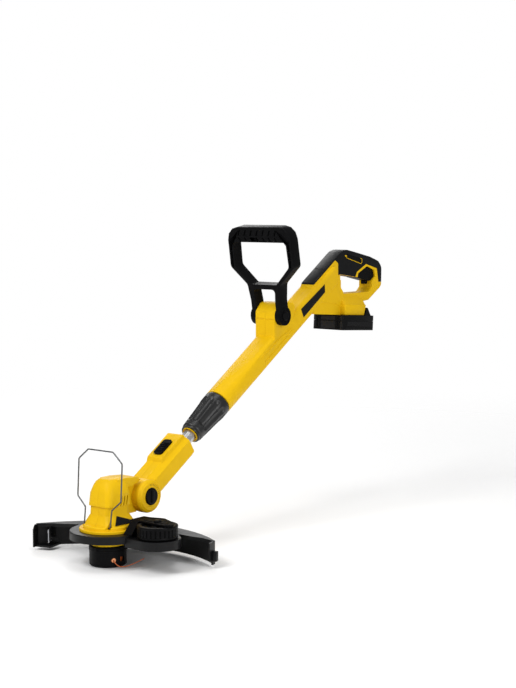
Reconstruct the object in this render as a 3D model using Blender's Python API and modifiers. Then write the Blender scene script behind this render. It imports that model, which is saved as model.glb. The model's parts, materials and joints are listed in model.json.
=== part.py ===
"""Cordless string trimmer with a swivelling head and a telescopic shaft.

Metres, +Z up, +X towards the operator, -Y the side with the edging wheel.
The origin lies on the line head's axis, at its underside.
"""

import math

import bmesh
import bpy
from mathutils import Matrix, Vector

# Fits shared by every piece
GAP = 0.0003
MERGE = 0.00002
CUT_PIECES = ("aux_handle", "guard", "grip_overmould", "lock_off_button", "motor_housing_left",
              "motor_housing_right", "neck_left", "neck_right", "wheel_bracket", "battery_case",
              "battery_cover", "battery_latch", "trigger", "collar", "head_label_plate")
RUN = 0.0008
SCREW_R = 0.0018
SCREW_HEAD_R = 0.0034
SCREW_HEAD_H = 0.0022

# Shaft line, measured from the head's tilt pivot
PIVOT_X = 0.085
PIVOT_Z = 0.119
PITCH = math.radians(32.5)

# Line head
SPOOL_R = 0.035
SPOOL_TOP = 0.038
SPOOL_WALL = 0.0022
SPOOL_ROOF = 0.003
SPOOL_HUB_R = 0.008
CAP_H = 0.0042
CAP_CHAMFER = 0.0025
REEL_R = 0.0305
REEL_CORE_R = 0.012
REEL_LOW = 0.0062
REEL_TOP = 0.0295
REEL_FLANGE = 0.0022
SPRING_R = 0.0105
SPRING_WIRE = 0.0012
EYELET_R = 0.0046
EYELET_BORE = 0.00092
EYELET_Z = 0.0145
EYELET_ANGLE = math.radians(-119.0)
WINDOW_ANGLE = math.radians(-86.0)
WINDOW_W = 0.011
WINDOW_H = 0.010
LINE_R = 0.0008
SHAFT_R = 0.0025
SHAFT_TOP = 0.148
GUARD_SCREW_X = 0.004
GUARD_SCREW_Y = 0.041

# Base ring and guard disc
RING_R = 0.033
RING_LOW = 0.0392
DISC_R = 0.0715
DISC_LOW = 0.051
DISC_TOP = 0.066
DISC_PLATE = 0.003
BEARING_R = 0.008
BEARING_H = 0.004
RING_ROOF = 0.006
BEARING_LIP = 0.0015

# Motor housing
FLANGE_R = 0.053
FLANGE_TIER = 0.005
STEP_R = 0.046
STEP_TOP = 0.078
LEDGE_Z = 0.1135
LEDGE_LIP = 0.0028
HOUSING_TOP = 0.162
HOUSING_FRONT = -0.026
HOUSING_REAR = 0.037
HOUSING_HALF = 0.030
MOTOR_R = 0.022
MOTOR_TOP = 0.130
FAN_R = 0.0195
FAN_H = 0.007
ROOF_HALF = 0.0215
VENT_COUNT = 3
VENT_PITCH = 0.0078
VENT_W = 0.0032

# Guard, in axes turned about Z towards its swept side
GUARD_TURN = math.radians(14.0)
BLADE_ACROSS = 0.166
GUARD_TIP = BLADE_ACROSS + 0.026
GUARD_ARC_R = 0.273
GUARD_APEX = 0.140
GUARD_LOW = 0.005
GUARD_TIP_TOP = 0.0498
GUARD_LEDGE = 0.0515
GUARD_LEDGE_R = 0.128
GUARD_WALL = 0.0026
GUARD_LIP = 0.0038
GUARD_SHOULDER = DISC_R + 0.002
TIP_DEPTH = 0.0041
TAB_OUT = 0.0085
BLADE_AHEAD = 0.0195
BLADE_UNDER = 0.0090
BLADE_TALL = 0.0265
BLADE_RIB = 0.0024

# Edging wheel and its cover
WHEEL_X = 0.015
WHEEL_Y = -0.111
WHEEL_R = 0.038
WHEEL_LOW = 0.063
WHEEL_H = 0.024
WHEEL_BORE = 0.0045
EAR_R = 0.043
EAR_TOP = 0.062
EAR_LOW = 0.045
AXLE_R = 0.004
COVER_PLATE = 0.003

# Wire guard in front of the head
WIRE_R = 0.0014
WIRE_X = -0.028
WIRE_Z = 0.0757
WIRE_HALF = 0.033
WIRE_WIDE = 0.055
WIRE_H = 0.1408
WIRE_TAIL = 0.0075

# Neck
DRUM_R = 0.032
DRUM_HALF = 0.033
EAR_INNER = 0.012
BRIDGE_LOW = 0.0455
TONGUE_R = 0.030
NECK_HALF = 0.027
NECK_HIGH = 0.024
NECK_CHAMFER = 0.010
NECK_END = 0.150
PLATEAU_START = 0.075
PLATEAU_TOP = 0.0295
PLATEAU_HALF = 0.019
PIN_R = 0.004
BUTTON_R = 0.0165
BUTTON_OUT = 0.0035
BUTTON_TRAVEL = 0.0035
RIDGE_HALF = 0.0028
RIDGE_TALL = 0.0115
NECK_BUTTON_S = 0.1045
NECK_BUTTON_L = 0.042
NECK_BUTTON_W = 0.021
NECK_BUTTON_ROUND = 0.0058
NECK_BUTTON_OUT = 0.0035
NECK_BUTTON_TRAVEL = 0.003
BUTTON_WELL = 0.0075
BUTTON_SPRING_R = 0.0105
SPRING_WELL = 0.0035
CAP_R = 0.0135
NECK_WELL = 0.008
PAD_SPRING_R = 0.004
PAD_SPRING_H = 0.003

# Telescopic tube and collar
TUBE_R = 0.0125
TUBE_WALL = 0.0012
TUBE_START = 0.052
TUBE_END = 0.700
BUSH_WALL = 0.0022
BUSH_END = 0.148
COLLAR_START = 0.181
COLLAR_END = 0.2825
COLLAR_NOSE_R = 0.0205
COLLAR_R = 0.02825
FLUTE_COUNT = 10
FLUTE_R = 0.0100
FLUTE_LENGTH = 0.074
FLUTE_MIDDLE = 0.053
FLUTE_OUT = 0.0325
LEAD_R = 0.0025
CLAMP_WALL = 0.0040
BUSH_RIM = 0.0014

# Upper housing
ROUND_R = 0.0285
ROUND_END = 0.300
SQUARE_START = 0.420
SQUARE_HALF = 0.025
SQUARE_HIGH = 0.021
SQUARE_CORNER = 0.008
SHELL_WALL = 0.0028
SPIGOT_R = 0.0185
SPIGOT_START = 0.206

# Grip
GRIP_HALF = 0.0175
GRIP_ROUND = 0.007
OVERMOULD_T = 0.0022
BASE_HALF = 0.034
WEB_HALF = 0.0215
TRIGGER_HALF = 0.013
LEVER_HALF = 0.006
TRIGGER_PIVOT_X = 0.752
TRIGGER_PIVOT_Z = 0.5215
TRIGGER_PIN_R = 0.0018
LOCK_X = 0.7800
LOCK_Z = 0.5485
LOCK_OUT = 0.0015
LOCK_DEPTH = 0.0050
LOCK_TRAVEL = 0.0025
LOCK_STEM_R = 0.0022
LOCK_STEM_AT = (0.7650, 0.5515)
CONTACT_U = -0.0375
CONTACT_L = 0.018
CONTACT_HALF = 0.014
SCREW_SEAT = 0.0105
HANDLE_SCREWS = ((0.8760, 0.5100), (0.8250, 0.4610), (0.7080, 0.4700), (0.5360, 0.4440))

# Front handle
HANDLE_X = 0.4993
HANDLE_Z = 0.4373
HANDLE_LEAN = math.radians(10.0)
HANDLE_INNER = 0.0256
HANDLE_OUTER = 0.038
HANDLE_DEPTH = 0.027
HANDLE_TOP = 0.190
HANDLE_BAR = 0.0320
HANDLE_WIDE = 0.0825
HANDLE_DISC_R = 0.020
HANDLE_BUTTON_R = 0.0095
HANDLE_WELL = 0.006
HANDLE_TRAVEL = 0.0025
BOLT_R = 0.004
CHEVRONS = 7
CHEVRON_FIRST = 0.0547
CHEVRON_PITCH = 0.01573
CHEVRON_W = 0.0038
CHEVRON_DEEP = 0.0024
POCKET_DEEP = 0.0035
SIDE_POCKETS = 3
SIDE_POCKET_H = 0.0175
BOSS_TOP = 0.0275

# Battery, on rails that fall towards the rear
BATTERY_X = 0.7668
BATTERY_Z = 0.4065
BATTERY_FALL = math.radians(3.7)
BATTERY_L = 0.122
BATTERY_W = 0.080
BATTERY_H = 0.033
BATTERY_SPLIT = 0.004
BATTERY_WALL = 0.0025
RAIL_NECK = 0.0215
RAIL_HEAD = 0.0265
RAIL_NECK_H = 0.0035
RAIL_HEAD_H = 0.0045
LATCH_HALF = 0.016
LATCH_TRAVEL = 0.003


# Collections, materials and frames

def start():
    for item in list(bpy.data.objects):
        bpy.data.objects.remove(item, do_unlink=True)
    groups = {}
    for title in ("string_trimmer", "cutters"):
        group = bpy.data.collections.new(title)
        bpy.context.scene.collection.children.link(group)
        groups[title] = group
    return groups


GROUPS = start()

COLOURS = {
    "yellow": ((0.86, 0.58, 0.03), 0.38, 0.0),
    "black": ((0.018, 0.018, 0.020), 0.45, 0.0),
    "gloss_black": ((0.020, 0.020, 0.022), 0.22, 0.0),
    "soft_black": ((0.030, 0.031, 0.034), 0.70, 0.0),
    "grey": ((0.16, 0.16, 0.17), 0.50, 0.0),
    "steel": ((0.62, 0.63, 0.65), 0.28, 1.0),
    "aluminium": ((0.78, 0.79, 0.81), 0.25, 1.0),
    "copper": ((0.80, 0.42, 0.24), 0.30, 1.0),
    "orange": ((0.85, 0.27, 0.10), 0.40, 0.0),
}


def material(title):
    found = bpy.data.materials.get(title)
    if found:
        return found
    colour, rough, metal = COLOURS[title]
    made = bpy.data.materials.new(title)
    made.use_nodes = True
    shader = made.node_tree.nodes["Principled BSDF"]
    shader.inputs["Base Color"].default_value = (*colour, 1.0)
    shader.inputs["Roughness"].default_value = rough
    shader.inputs["Metallic"].default_value = metal
    return made


def frame(title, place, turn=(0.0, 0.0, 0.0)):
    empty = bpy.data.objects.new(title, None)
    GROUPS["cutters"].objects.link(empty)
    empty.location = place
    empty.rotation_euler = turn
    return empty


SHAFT = frame("shaft_frame", (PIVOT_X, 0.0, PIVOT_Z), (0.0, -PITCH, 0.0))
GUARD = frame("guard_frame", (0.0, 0.0, 0.0), (0.0, 0.0, GUARD_TURN))
HANDLE = frame("handle_frame", (HANDLE_X, 0.0, HANDLE_Z), (0.0, -HANDLE_LEAN, 0.0))
BATTERY = frame("battery_frame", (BATTERY_X, 0.0, BATTERY_Z), (0.0, BATTERY_FALL, 0.0))


# Making and joining solids

def place(mesh, title, colour=None, parent=None):
    """A part when it has a colour, and otherwise a cutter."""
    item = bpy.data.objects.new(title, mesh)
    if colour:
        GROUPS["string_trimmer"].objects.link(item)
        mesh.materials.clear()
        mesh.materials.append(material(colour))
    else:
        GROUPS["cutters"].objects.link(item)
        item.hide_render = True
        item.display_type = "WIRE"
    item.parent = parent
    return item


def round_shading(item, angle=35.0):
    item.data.shade_smooth()
    item.data.set_sharp_from_angle(angle=math.radians(angle))
    return item


def box(title, low, high, colour=None, parent=None):
    low = Vector(low)
    high = Vector(high)
    shape = bmesh.new()
    bmesh.ops.create_cube(shape, size=1.0)
    size = high - low
    bmesh.ops.scale(shape, vec=size, verts=shape.verts)
    bmesh.ops.translate(shape, vec=(low + high) / 2.0, verts=shape.verts)
    mesh = bpy.data.meshes.new(title)
    shape.to_mesh(mesh)
    shape.free()
    return place(mesh, title, colour, parent)


TURNS = {
    "Z": Matrix.Identity(4),
    "Y": Matrix(((1, 0, 0, 0), (0, 0, -1, 0), (0, 1, 0, 0), (0, 0, 0, 1))),
    "X": Matrix(((0, 0, 1, 0), (1, 0, 0, 0), (0, 1, 0, 0), (0, 0, 0, 1))),
}


def rod(title, radius, low, high, axis="Z", at=(0.0, 0.0), colour=None, parent=None,
        sides=24, top=None):
    """A cylinder or cone between two places on an axis; at gives its two other coordinates."""
    shape = bmesh.new()
    far = radius if top is None else top
    bmesh.ops.create_cone(shape, cap_ends=True, segments=sides, radius1=radius, radius2=far,
                          depth=high - low)
    bmesh.ops.translate(shape, vec=(0.0, 0.0, (low + high) / 2.0), verts=shape.verts)
    if axis == "Y":
        bmesh.ops.scale(shape, vec=(1.0, 1.0, -1.0), verts=shape.verts)
        bmesh.ops.reverse_faces(shape, faces=shape.faces)
    bmesh.ops.transform(shape, matrix=TURNS[axis], verts=shape.verts)
    offset = {"Z": (at[0], at[1], 0.0), "Y": (at[0], 0.0, at[1]), "X": (0.0, at[0], at[1])}
    bmesh.ops.translate(shape, vec=offset[axis], verts=shape.verts)
    mesh = bpy.data.meshes.new(title)
    shape.to_mesh(mesh)
    shape.free()
    return round_shading(place(mesh, title, colour, parent))


def rounded(corners, step=30.0):
    """Points of an outline whose corners, given as (u, v, radius), are arcs."""
    points = []
    count = len(corners)
    for index, (u, v, radius) in enumerate(corners):
        corner = Vector((u, v))
        before = Vector(corners[index - 1][:2]) - corner
        after = Vector(corners[(index + 1) % count][:2]) - corner
        reach = min(before.length, after.length) * 0.49
        before.normalize()
        after.normalize()
        spread = before.angle(after)
        if radius <= 0.0 or spread > math.radians(176.0):
            points.append(corner)
            continue
        radius = min(radius, reach * math.tan(spread / 2.0))
        centre = corner + (before + after).normalized() * radius / math.sin(spread / 2.0)
        start_at = corner + before * radius / math.tan(spread / 2.0) - centre
        sweep = math.pi - spread
        if before.cross(after) > 0.0:
            sweep = -sweep
        parts = max(1, math.ceil(abs(math.degrees(sweep)) / step))
        for part in range(parts + 1):
            turned = start_at.copy()
            turned.rotate(Matrix.Rotation(sweep * part / parts, 2))
            points.append(centre + turned)
    return points


def inset(corners, depth):
    """The same outline, moved inwards; its corners run anticlockwise."""
    moved = []
    count = len(corners)
    for index, (u, v, radius) in enumerate(corners):
        corner = Vector((u, v))
        into = (corner - Vector(corners[index - 1][:2])).normalized()
        out = (Vector(corners[(index + 1) % count][:2]) - corner).normalized()
        first = Vector((-into.y, into.x))
        second = Vector((-out.y, out.x))
        middle = (first + second).normalized()
        corner = corner + middle * depth / max(0.3, middle.dot(first))
        moved.append((corner.x, corner.y, max(0.0, radius - depth)))
    return moved


def prism(title, corners, low, high, axis="Y", colour=None, parent=None, step=30.0):
    """A flat outline carried along one axis."""
    points = rounded(corners, step)
    curve = bpy.data.curves.new(title, "CURVE")
    curve.dimensions = "2D"
    curve.fill_mode = "BOTH"
    curve.extrude = (high - low) / 2.0
    line = curve.splines.new("POLY")
    line.points.add(len(points) - 1)
    for spot, point in zip(line.points, points):
        spot.co = (point.x, point.y, 0.0, 1.0)
    line.use_cyclic_u = True
    mesh = solid_from(curve, title)
    mesh.transform(Matrix.Translation((0.0, 0.0, (low + high) / 2.0)))
    if axis == "Y":
        mesh.transform(Matrix.Scale(-1.0, 4, (0.0, 0.0, 1.0)))
        mesh.flip_normals()
    mesh.transform(TURNS[axis])
    return place(mesh, title, colour, parent)


def solid_from(curve, title):
    """The closed mesh of a curve, with its caps welded on."""
    guide = bpy.data.objects.new(title + "_curve", curve)
    bpy.context.scene.collection.objects.link(guide)
    seen = guide.evaluated_get(bpy.context.evaluated_depsgraph_get())
    mesh = bpy.data.meshes.new_from_object(seen)
    shape = bmesh.new()
    shape.from_mesh(mesh)
    bmesh.ops.remove_doubles(shape, verts=shape.verts, dist=1e-6)
    bmesh.ops.recalc_face_normals(shape, faces=shape.faces)
    shape.to_mesh(mesh)
    shape.free()
    mesh.name = title
    bpy.data.objects.remove(guide, do_unlink=True)
    return mesh


def tube(title, points, radius, colour=None, parent=None, detail=2, closed=False):
    """A round wire or cord along points."""
    curve = bpy.data.curves.new(title, "CURVE")
    curve.dimensions = "3D"
    curve.bevel_depth = radius
    curve.bevel_resolution = detail
    curve.use_fill_caps = True
    line = curve.splines.new("POLY")
    line.points.add(len(points) - 1)
    for spot, point in zip(line.points, points):
        spot.co = (*point, 1.0)
    line.use_cyclic_u = closed
    return round_shading(place(solid_from(curve, title), title, colour, parent), 50.0)


def smooth_path(stops, parts=5):
    """Points of a smooth curve through the stops."""
    stops = [Vector(stop) for stop in stops]
    ends = [2 * stops[0] - stops[1]] + stops + [2 * stops[-1] - stops[-2]]
    points = []
    for index in range(1, len(ends) - 2):
        a, b, c, d = ends[index - 1:index + 3]
        for part in range(parts):
            t = part / parts
            points.append(0.5 * (2 * b + (c - a) * t + (2 * a - 5 * b + 4 * c - d) * t ** 2
                                 + (3 * b - a - 3 * c + d) * t ** 3))
    points.append(stops[-1])
    return points


def bent_path(stops, radius, step=22.0):
    """Straight runs joined by arcs of one radius."""
    stops = [Vector(stop) for stop in stops]
    points = [stops[0]]
    for index in range(1, len(stops) - 1):
        corner = stops[index]
        before = (stops[index - 1] - corner)
        after = (stops[index + 1] - corner)
        reach = min(before.length, after.length) * 0.49
        before.normalize()
        after.normalize()
        spread = before.angle(after)
        bend = min(radius, reach * math.tan(spread / 2.0))
        centre = corner + (before + after).normalized() * bend / math.sin(spread / 2.0)
        start_at = corner + before * bend / math.tan(spread / 2.0) - centre
        axis = start_at.cross(corner + after * bend / math.tan(spread / 2.0) - centre)
        sweep = math.pi - spread
        parts = max(1, math.ceil(math.degrees(sweep) / step))
        for part in range(parts + 1):
            points.append(centre + Matrix.Rotation(sweep * part / parts, 3, axis) @ start_at)
    points.append(stops[-1])
    return points


def turned(title, profile, colour=None, parent=None, steps=32, axis="Z", at=(0.0, 0.0, 0.0)):
    """A profile of (radius, height) turned about an axis, down its outer side first."""
    mesh = bpy.data.meshes.new(title)
    points = [(radius, 0.0, height) for radius, height in profile]
    count = len(points)
    on_axis = profile[0][0] == 0.0 and profile[-1][0] == 0.0
    edges = [(index, index + 1) for index in range(count - 1)]
    if not on_axis:
        edges.append((count - 1, 0))
    mesh.from_pydata(points, edges, [])
    item = place(mesh, title, colour, parent)
    item.location = at
    if axis == "X":
        item.rotation_euler = (0.0, math.pi / 2.0, 0.0)
    if axis == "Y":
        item.rotation_euler = (-math.pi / 2.0, 0.0, 0.0)
    spin = item.modifiers.new("turn", "SCREW")
    spin.steps = steps
    spin.render_steps = steps
    spin.use_merge_vertices = True
    spin.merge_threshold = 0.00001
    spin.use_smooth_shade = False
    return item


def loft(title, sections, colour=None, parent=None):
    """A skin over unlike sections that have as many points each."""
    mesh = bpy.data.meshes.new(title)
    count = len(sections[0])
    points = [point for section in sections for point in section]
    faces = [tuple(reversed(range(count)))]
    for row in range(len(sections) - 1):
        for index in range(count):
            after = (index + 1) % count
            low = row * count
            faces.append((low + index, low + after, low + count + after, low + count + index))
    last = (len(sections) - 1) * count
    faces.append(tuple(range(last, last + count)))
    mesh.from_pydata([tuple(point) for point in points], [], faces)
    shape = bmesh.new()
    shape.from_mesh(mesh)
    bmesh.ops.recalc_face_normals(shape, faces=shape.faces)
    shape.to_mesh(mesh)
    shape.free()
    return round_shading(place(mesh, title, colour, parent))


def ring_points(half_u, half_v, corner, arc=3):
    """A rounded rectangle with arc + 1 points on each corner."""
    points = []
    corner = min(corner, half_u, half_v)
    for quarter, (sign_u, sign_v) in enumerate(((1, 1), (-1, 1), (-1, -1), (1, -1))):
        for part in range(arc + 1):
            angle = math.pi / 2.0 * (quarter + part / arc)
            u = sign_u * (half_u - corner) + corner * math.cos(angle)
            v = sign_v * (half_v - corner) + corner * math.sin(angle)
            points.append((u, v))
    return points


def combine(item, other, operation):
    step = item.modifiers.new(operation.lower() + "_" + other.name, "BOOLEAN")
    step.operation = operation
    step.solver = "EXACT"
    step.object = other
    return item


def cut(item, *others):
    for other in others:
        combine(item, other, "DIFFERENCE")
    return item


def join(item, *others):
    for other in others:
        combine(item, other, "UNION")
    return item


def keep(item, other):
    return combine(item, other, "INTERSECT")


def sturdy(item):
    """Bodies with many joins need the solver that keeps them closed."""
    for step in item.modifiers:
        if step.type == "BOOLEAN":
            step.solver = "MANIFOLD"
    return item


def soften(item, width, segments=2, angle=40.0):
    edge = item.modifiers.new("soft_edges", "BEVEL")
    edge.width = width
    edge.segments = segments
    edge.limit_method = "ANGLE"
    edge.angle_limit = math.radians(angle)
    return item


def settled(item, title=None, colour=None):
    """A new object with this one's finished mesh; the first is removed."""
    bpy.context.view_layer.update()
    seen = item.evaluated_get(bpy.context.evaluated_depsgraph_get())
    mesh = bpy.data.meshes.new_from_object(seen)
    mesh.name = title or item.name
    parent = item.parent
    where = item.matrix_basis.copy()
    name = title or item.name
    bpy.data.objects.remove(item, do_unlink=True)
    made = place(mesh, name, colour, parent)
    made.matrix_basis = where
    return made


def copied(item, title, colour=None):
    """A second object with its own copy of a settled mesh."""
    made = place(item.data.copy(), title, colour, item.parent)
    made.matrix_basis = item.matrix_basis.copy()
    return made


def cleaned(item):
    """Bakes a piece, with points that a cut left almost touching merged into one."""
    seen = item.evaluated_get(bpy.context.evaluated_depsgraph_get())
    mesh = bpy.data.meshes.new_from_object(seen)
    work = bmesh.new()
    work.from_mesh(mesh)
    bmesh.ops.remove_doubles(work, verts=work.verts, dist=MERGE)
    bmesh.ops.dissolve_degenerate(work, edges=work.edges, dist=MERGE)
    bmesh.ops.triangulate(work, faces=work.faces)
    closed = all(len(edge.link_faces) == 2 for edge in work.edges)
    if closed:
        work.to_mesh(mesh)
        item.modifiers.clear()
        item.data = mesh
    else:
        print("left as it was:", item.name)
    work.free()


def halves(body, titles, colour, reach=0.2):
    """Near and far shells of a body that is split down its middle."""
    solid = settled(sturdy(body), body.name + "_whole")
    made = []
    for title, low, high in ((titles[0], -reach, -GAP / 2.0), (titles[1], GAP / 2.0, reach)):
        side = box(title + "_side", (-1.0, low, -1.0), (1.5, high, 1.5), None, body_parent(solid))
        shell = copied(solid, title, colour)
        made.append(sturdy(keep(shell, side)))
    return made


def body_parent(item):
    return item.parent


# Line head, which turns about Z

def around_z(item, angle):
    item.rotation_euler = (0.0, 0.0, angle)
    return item


def spool_housing():
    inner = SPOOL_R - SPOOL_WALL
    shell = turned("spool_housing", [
        (SHAFT_R + GAP, SPOOL_TOP), (SPOOL_R - 0.001, SPOOL_TOP), (SPOOL_R, SPOOL_TOP - 0.001),
        (SPOOL_R, CAP_H + GAP), (inner, CAP_H + GAP), (inner, SPOOL_TOP - SPOOL_ROOF),
        (SPOOL_HUB_R, SPOOL_TOP - SPOOL_ROOF), (SPOOL_HUB_R, CAP_H + 0.006),
        (SHAFT_R + GAP, CAP_H + 0.006),
    ], "black", steps=28)
    eye = rod("eyelet_hole", EYELET_R - 0.0014 + GAP, -0.05, 0.05, "X", (0.0, EYELET_Z), sides=12)
    eye.rotation_euler = (0.0, 0.0, EYELET_ANGLE)
    cut(shell, eye)
    gap_low = (-0.05, -WINDOW_W / 2.0, EYELET_Z - WINDOW_H / 2.0)
    gap_high = (0.05, WINDOW_W / 2.0, EYELET_Z + WINDOW_H / 2.0)
    cut(shell, around_z(box("spool_window", gap_low, gap_high), WINDOW_ANGLE))
    return shell


def eyelet(title, angle):
    stem = EYELET_R - 0.0014
    ring = turned(title, [
        (EYELET_BORE, 0.0011), (EYELET_R - 0.0006, 0.0011), (EYELET_R, 0.0005),
        (EYELET_R, GAP + 0.0001), (stem, GAP + 0.0001), (stem, -SPOOL_WALL - GAP),
        (EYELET_BORE, -SPOOL_WALL - GAP),
    ], "copper", steps=12)
    where = Matrix.Rotation(angle, 4, "Z") @ Matrix.Translation((SPOOL_R, 0.0, EYELET_Z))
    ring.matrix_basis = where @ Matrix.Rotation(math.pi / 2.0, 4, "Y")
    return ring


def line_head():
    spool_housing()
    turned("spool_cap", [
        (0.0, CAP_H), (SPOOL_R, CAP_H), (SPOOL_R, CAP_CHAMFER),
        (SPOOL_R - CAP_CHAMFER, 0.0), (0.0, 0.0),
    ], "black", steps=28)
    core = SPOOL_HUB_R + 2.0 * GAP
    turned("spool", [
        (core, REEL_TOP), (REEL_R, REEL_TOP), (REEL_R, REEL_TOP - REEL_FLANGE),
        (REEL_CORE_R, REEL_TOP - REEL_FLANGE), (REEL_CORE_R, REEL_LOW + REEL_FLANGE),
        (REEL_R, REEL_LOW + REEL_FLANGE), (REEL_R, REEL_LOW), (core, REEL_LOW),
    ], "grey", steps=24)
    wound_r = REEL_R - 0.003
    turned("line_winding", [
        (REEL_CORE_R + GAP, REEL_TOP - REEL_FLANGE - GAP), (wound_r, REEL_TOP - REEL_FLANGE - GAP),
        (wound_r, REEL_LOW + REEL_FLANGE + GAP), (REEL_CORE_R + GAP, REEL_LOW + REEL_FLANGE + GAP),
    ], "orange", steps=24)
    spring_top = SPOOL_TOP - SPOOL_ROOF - GAP
    turned("spool_spring", [
        (SPRING_R - SPRING_WIRE, spring_top), (SPRING_R, spring_top),
        (SPRING_R, REEL_TOP + GAP), (SPRING_R - SPRING_WIRE, REEL_TOP + GAP),
    ], "steel", steps=20)
    eyelet("eyelet_near", EYELET_ANGLE)
    eyelet("eyelet_far", EYELET_ANGLE + math.pi)
    rod("motor_shaft", SHAFT_R, CAP_H + 0.004, SHAFT_TOP, colour="steel", sides=16)
    fan_low = MOTOR_TOP + RUN
    fan_top = fan_low + FAN_H
    fan_disc = fan_low + 0.0015
    fan = turned("cooling_fan", [
        (SHAFT_R + GAP, fan_top), (0.006, fan_top), (0.006, fan_disc), (FAN_R, fan_disc),
        (FAN_R, fan_low), (SHAFT_R + GAP, fan_low),
    ], "black", steps=24)
    for blade in range(6):
        vane = box("fan_vane", (0.005, -0.0006, fan_low + 0.0005),
                   (FAN_R - 0.0005, 0.0006, fan_top - 0.0004))
        join(fan, around_z(vane, math.radians(60.0 * blade + 15.0)))


def line_end():
    """The loose end of the line, from the near eyelet out to its cut tip."""
    route = (
        (EYELET_ANGLE, SPOOL_R + 0.0011, EYELET_Z), (EYELET_ANGLE, 0.0385, 0.0138),
        (math.radians(-117.0), 0.0405, 0.0100), (math.radians(-110.0), 0.0418, 0.0050),
        (math.radians(-101.0), 0.0428, 0.0024), (math.radians(-91.0), 0.0445, 0.0019),
        (math.radians(-79.0), 0.0490, 0.0034), (math.radians(-66.0), 0.0570, 0.0068),
        (math.radians(-55.0), 0.0680, 0.0112),
    )
    stops = [(r * math.cos(a), r * math.sin(a), z) for a, r, z in route]
    tube("line_end", smooth_path(stops, 3), LINE_R, "orange")


# Motor housing and what it holds

def housing_ring(front, rear, half, corner, z):
    middle = (front + rear) / 2.0
    long = (rear - front) / 2.0
    return [(middle + u, v, z) for u, v in ring_points(long, half, corner)]


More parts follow.
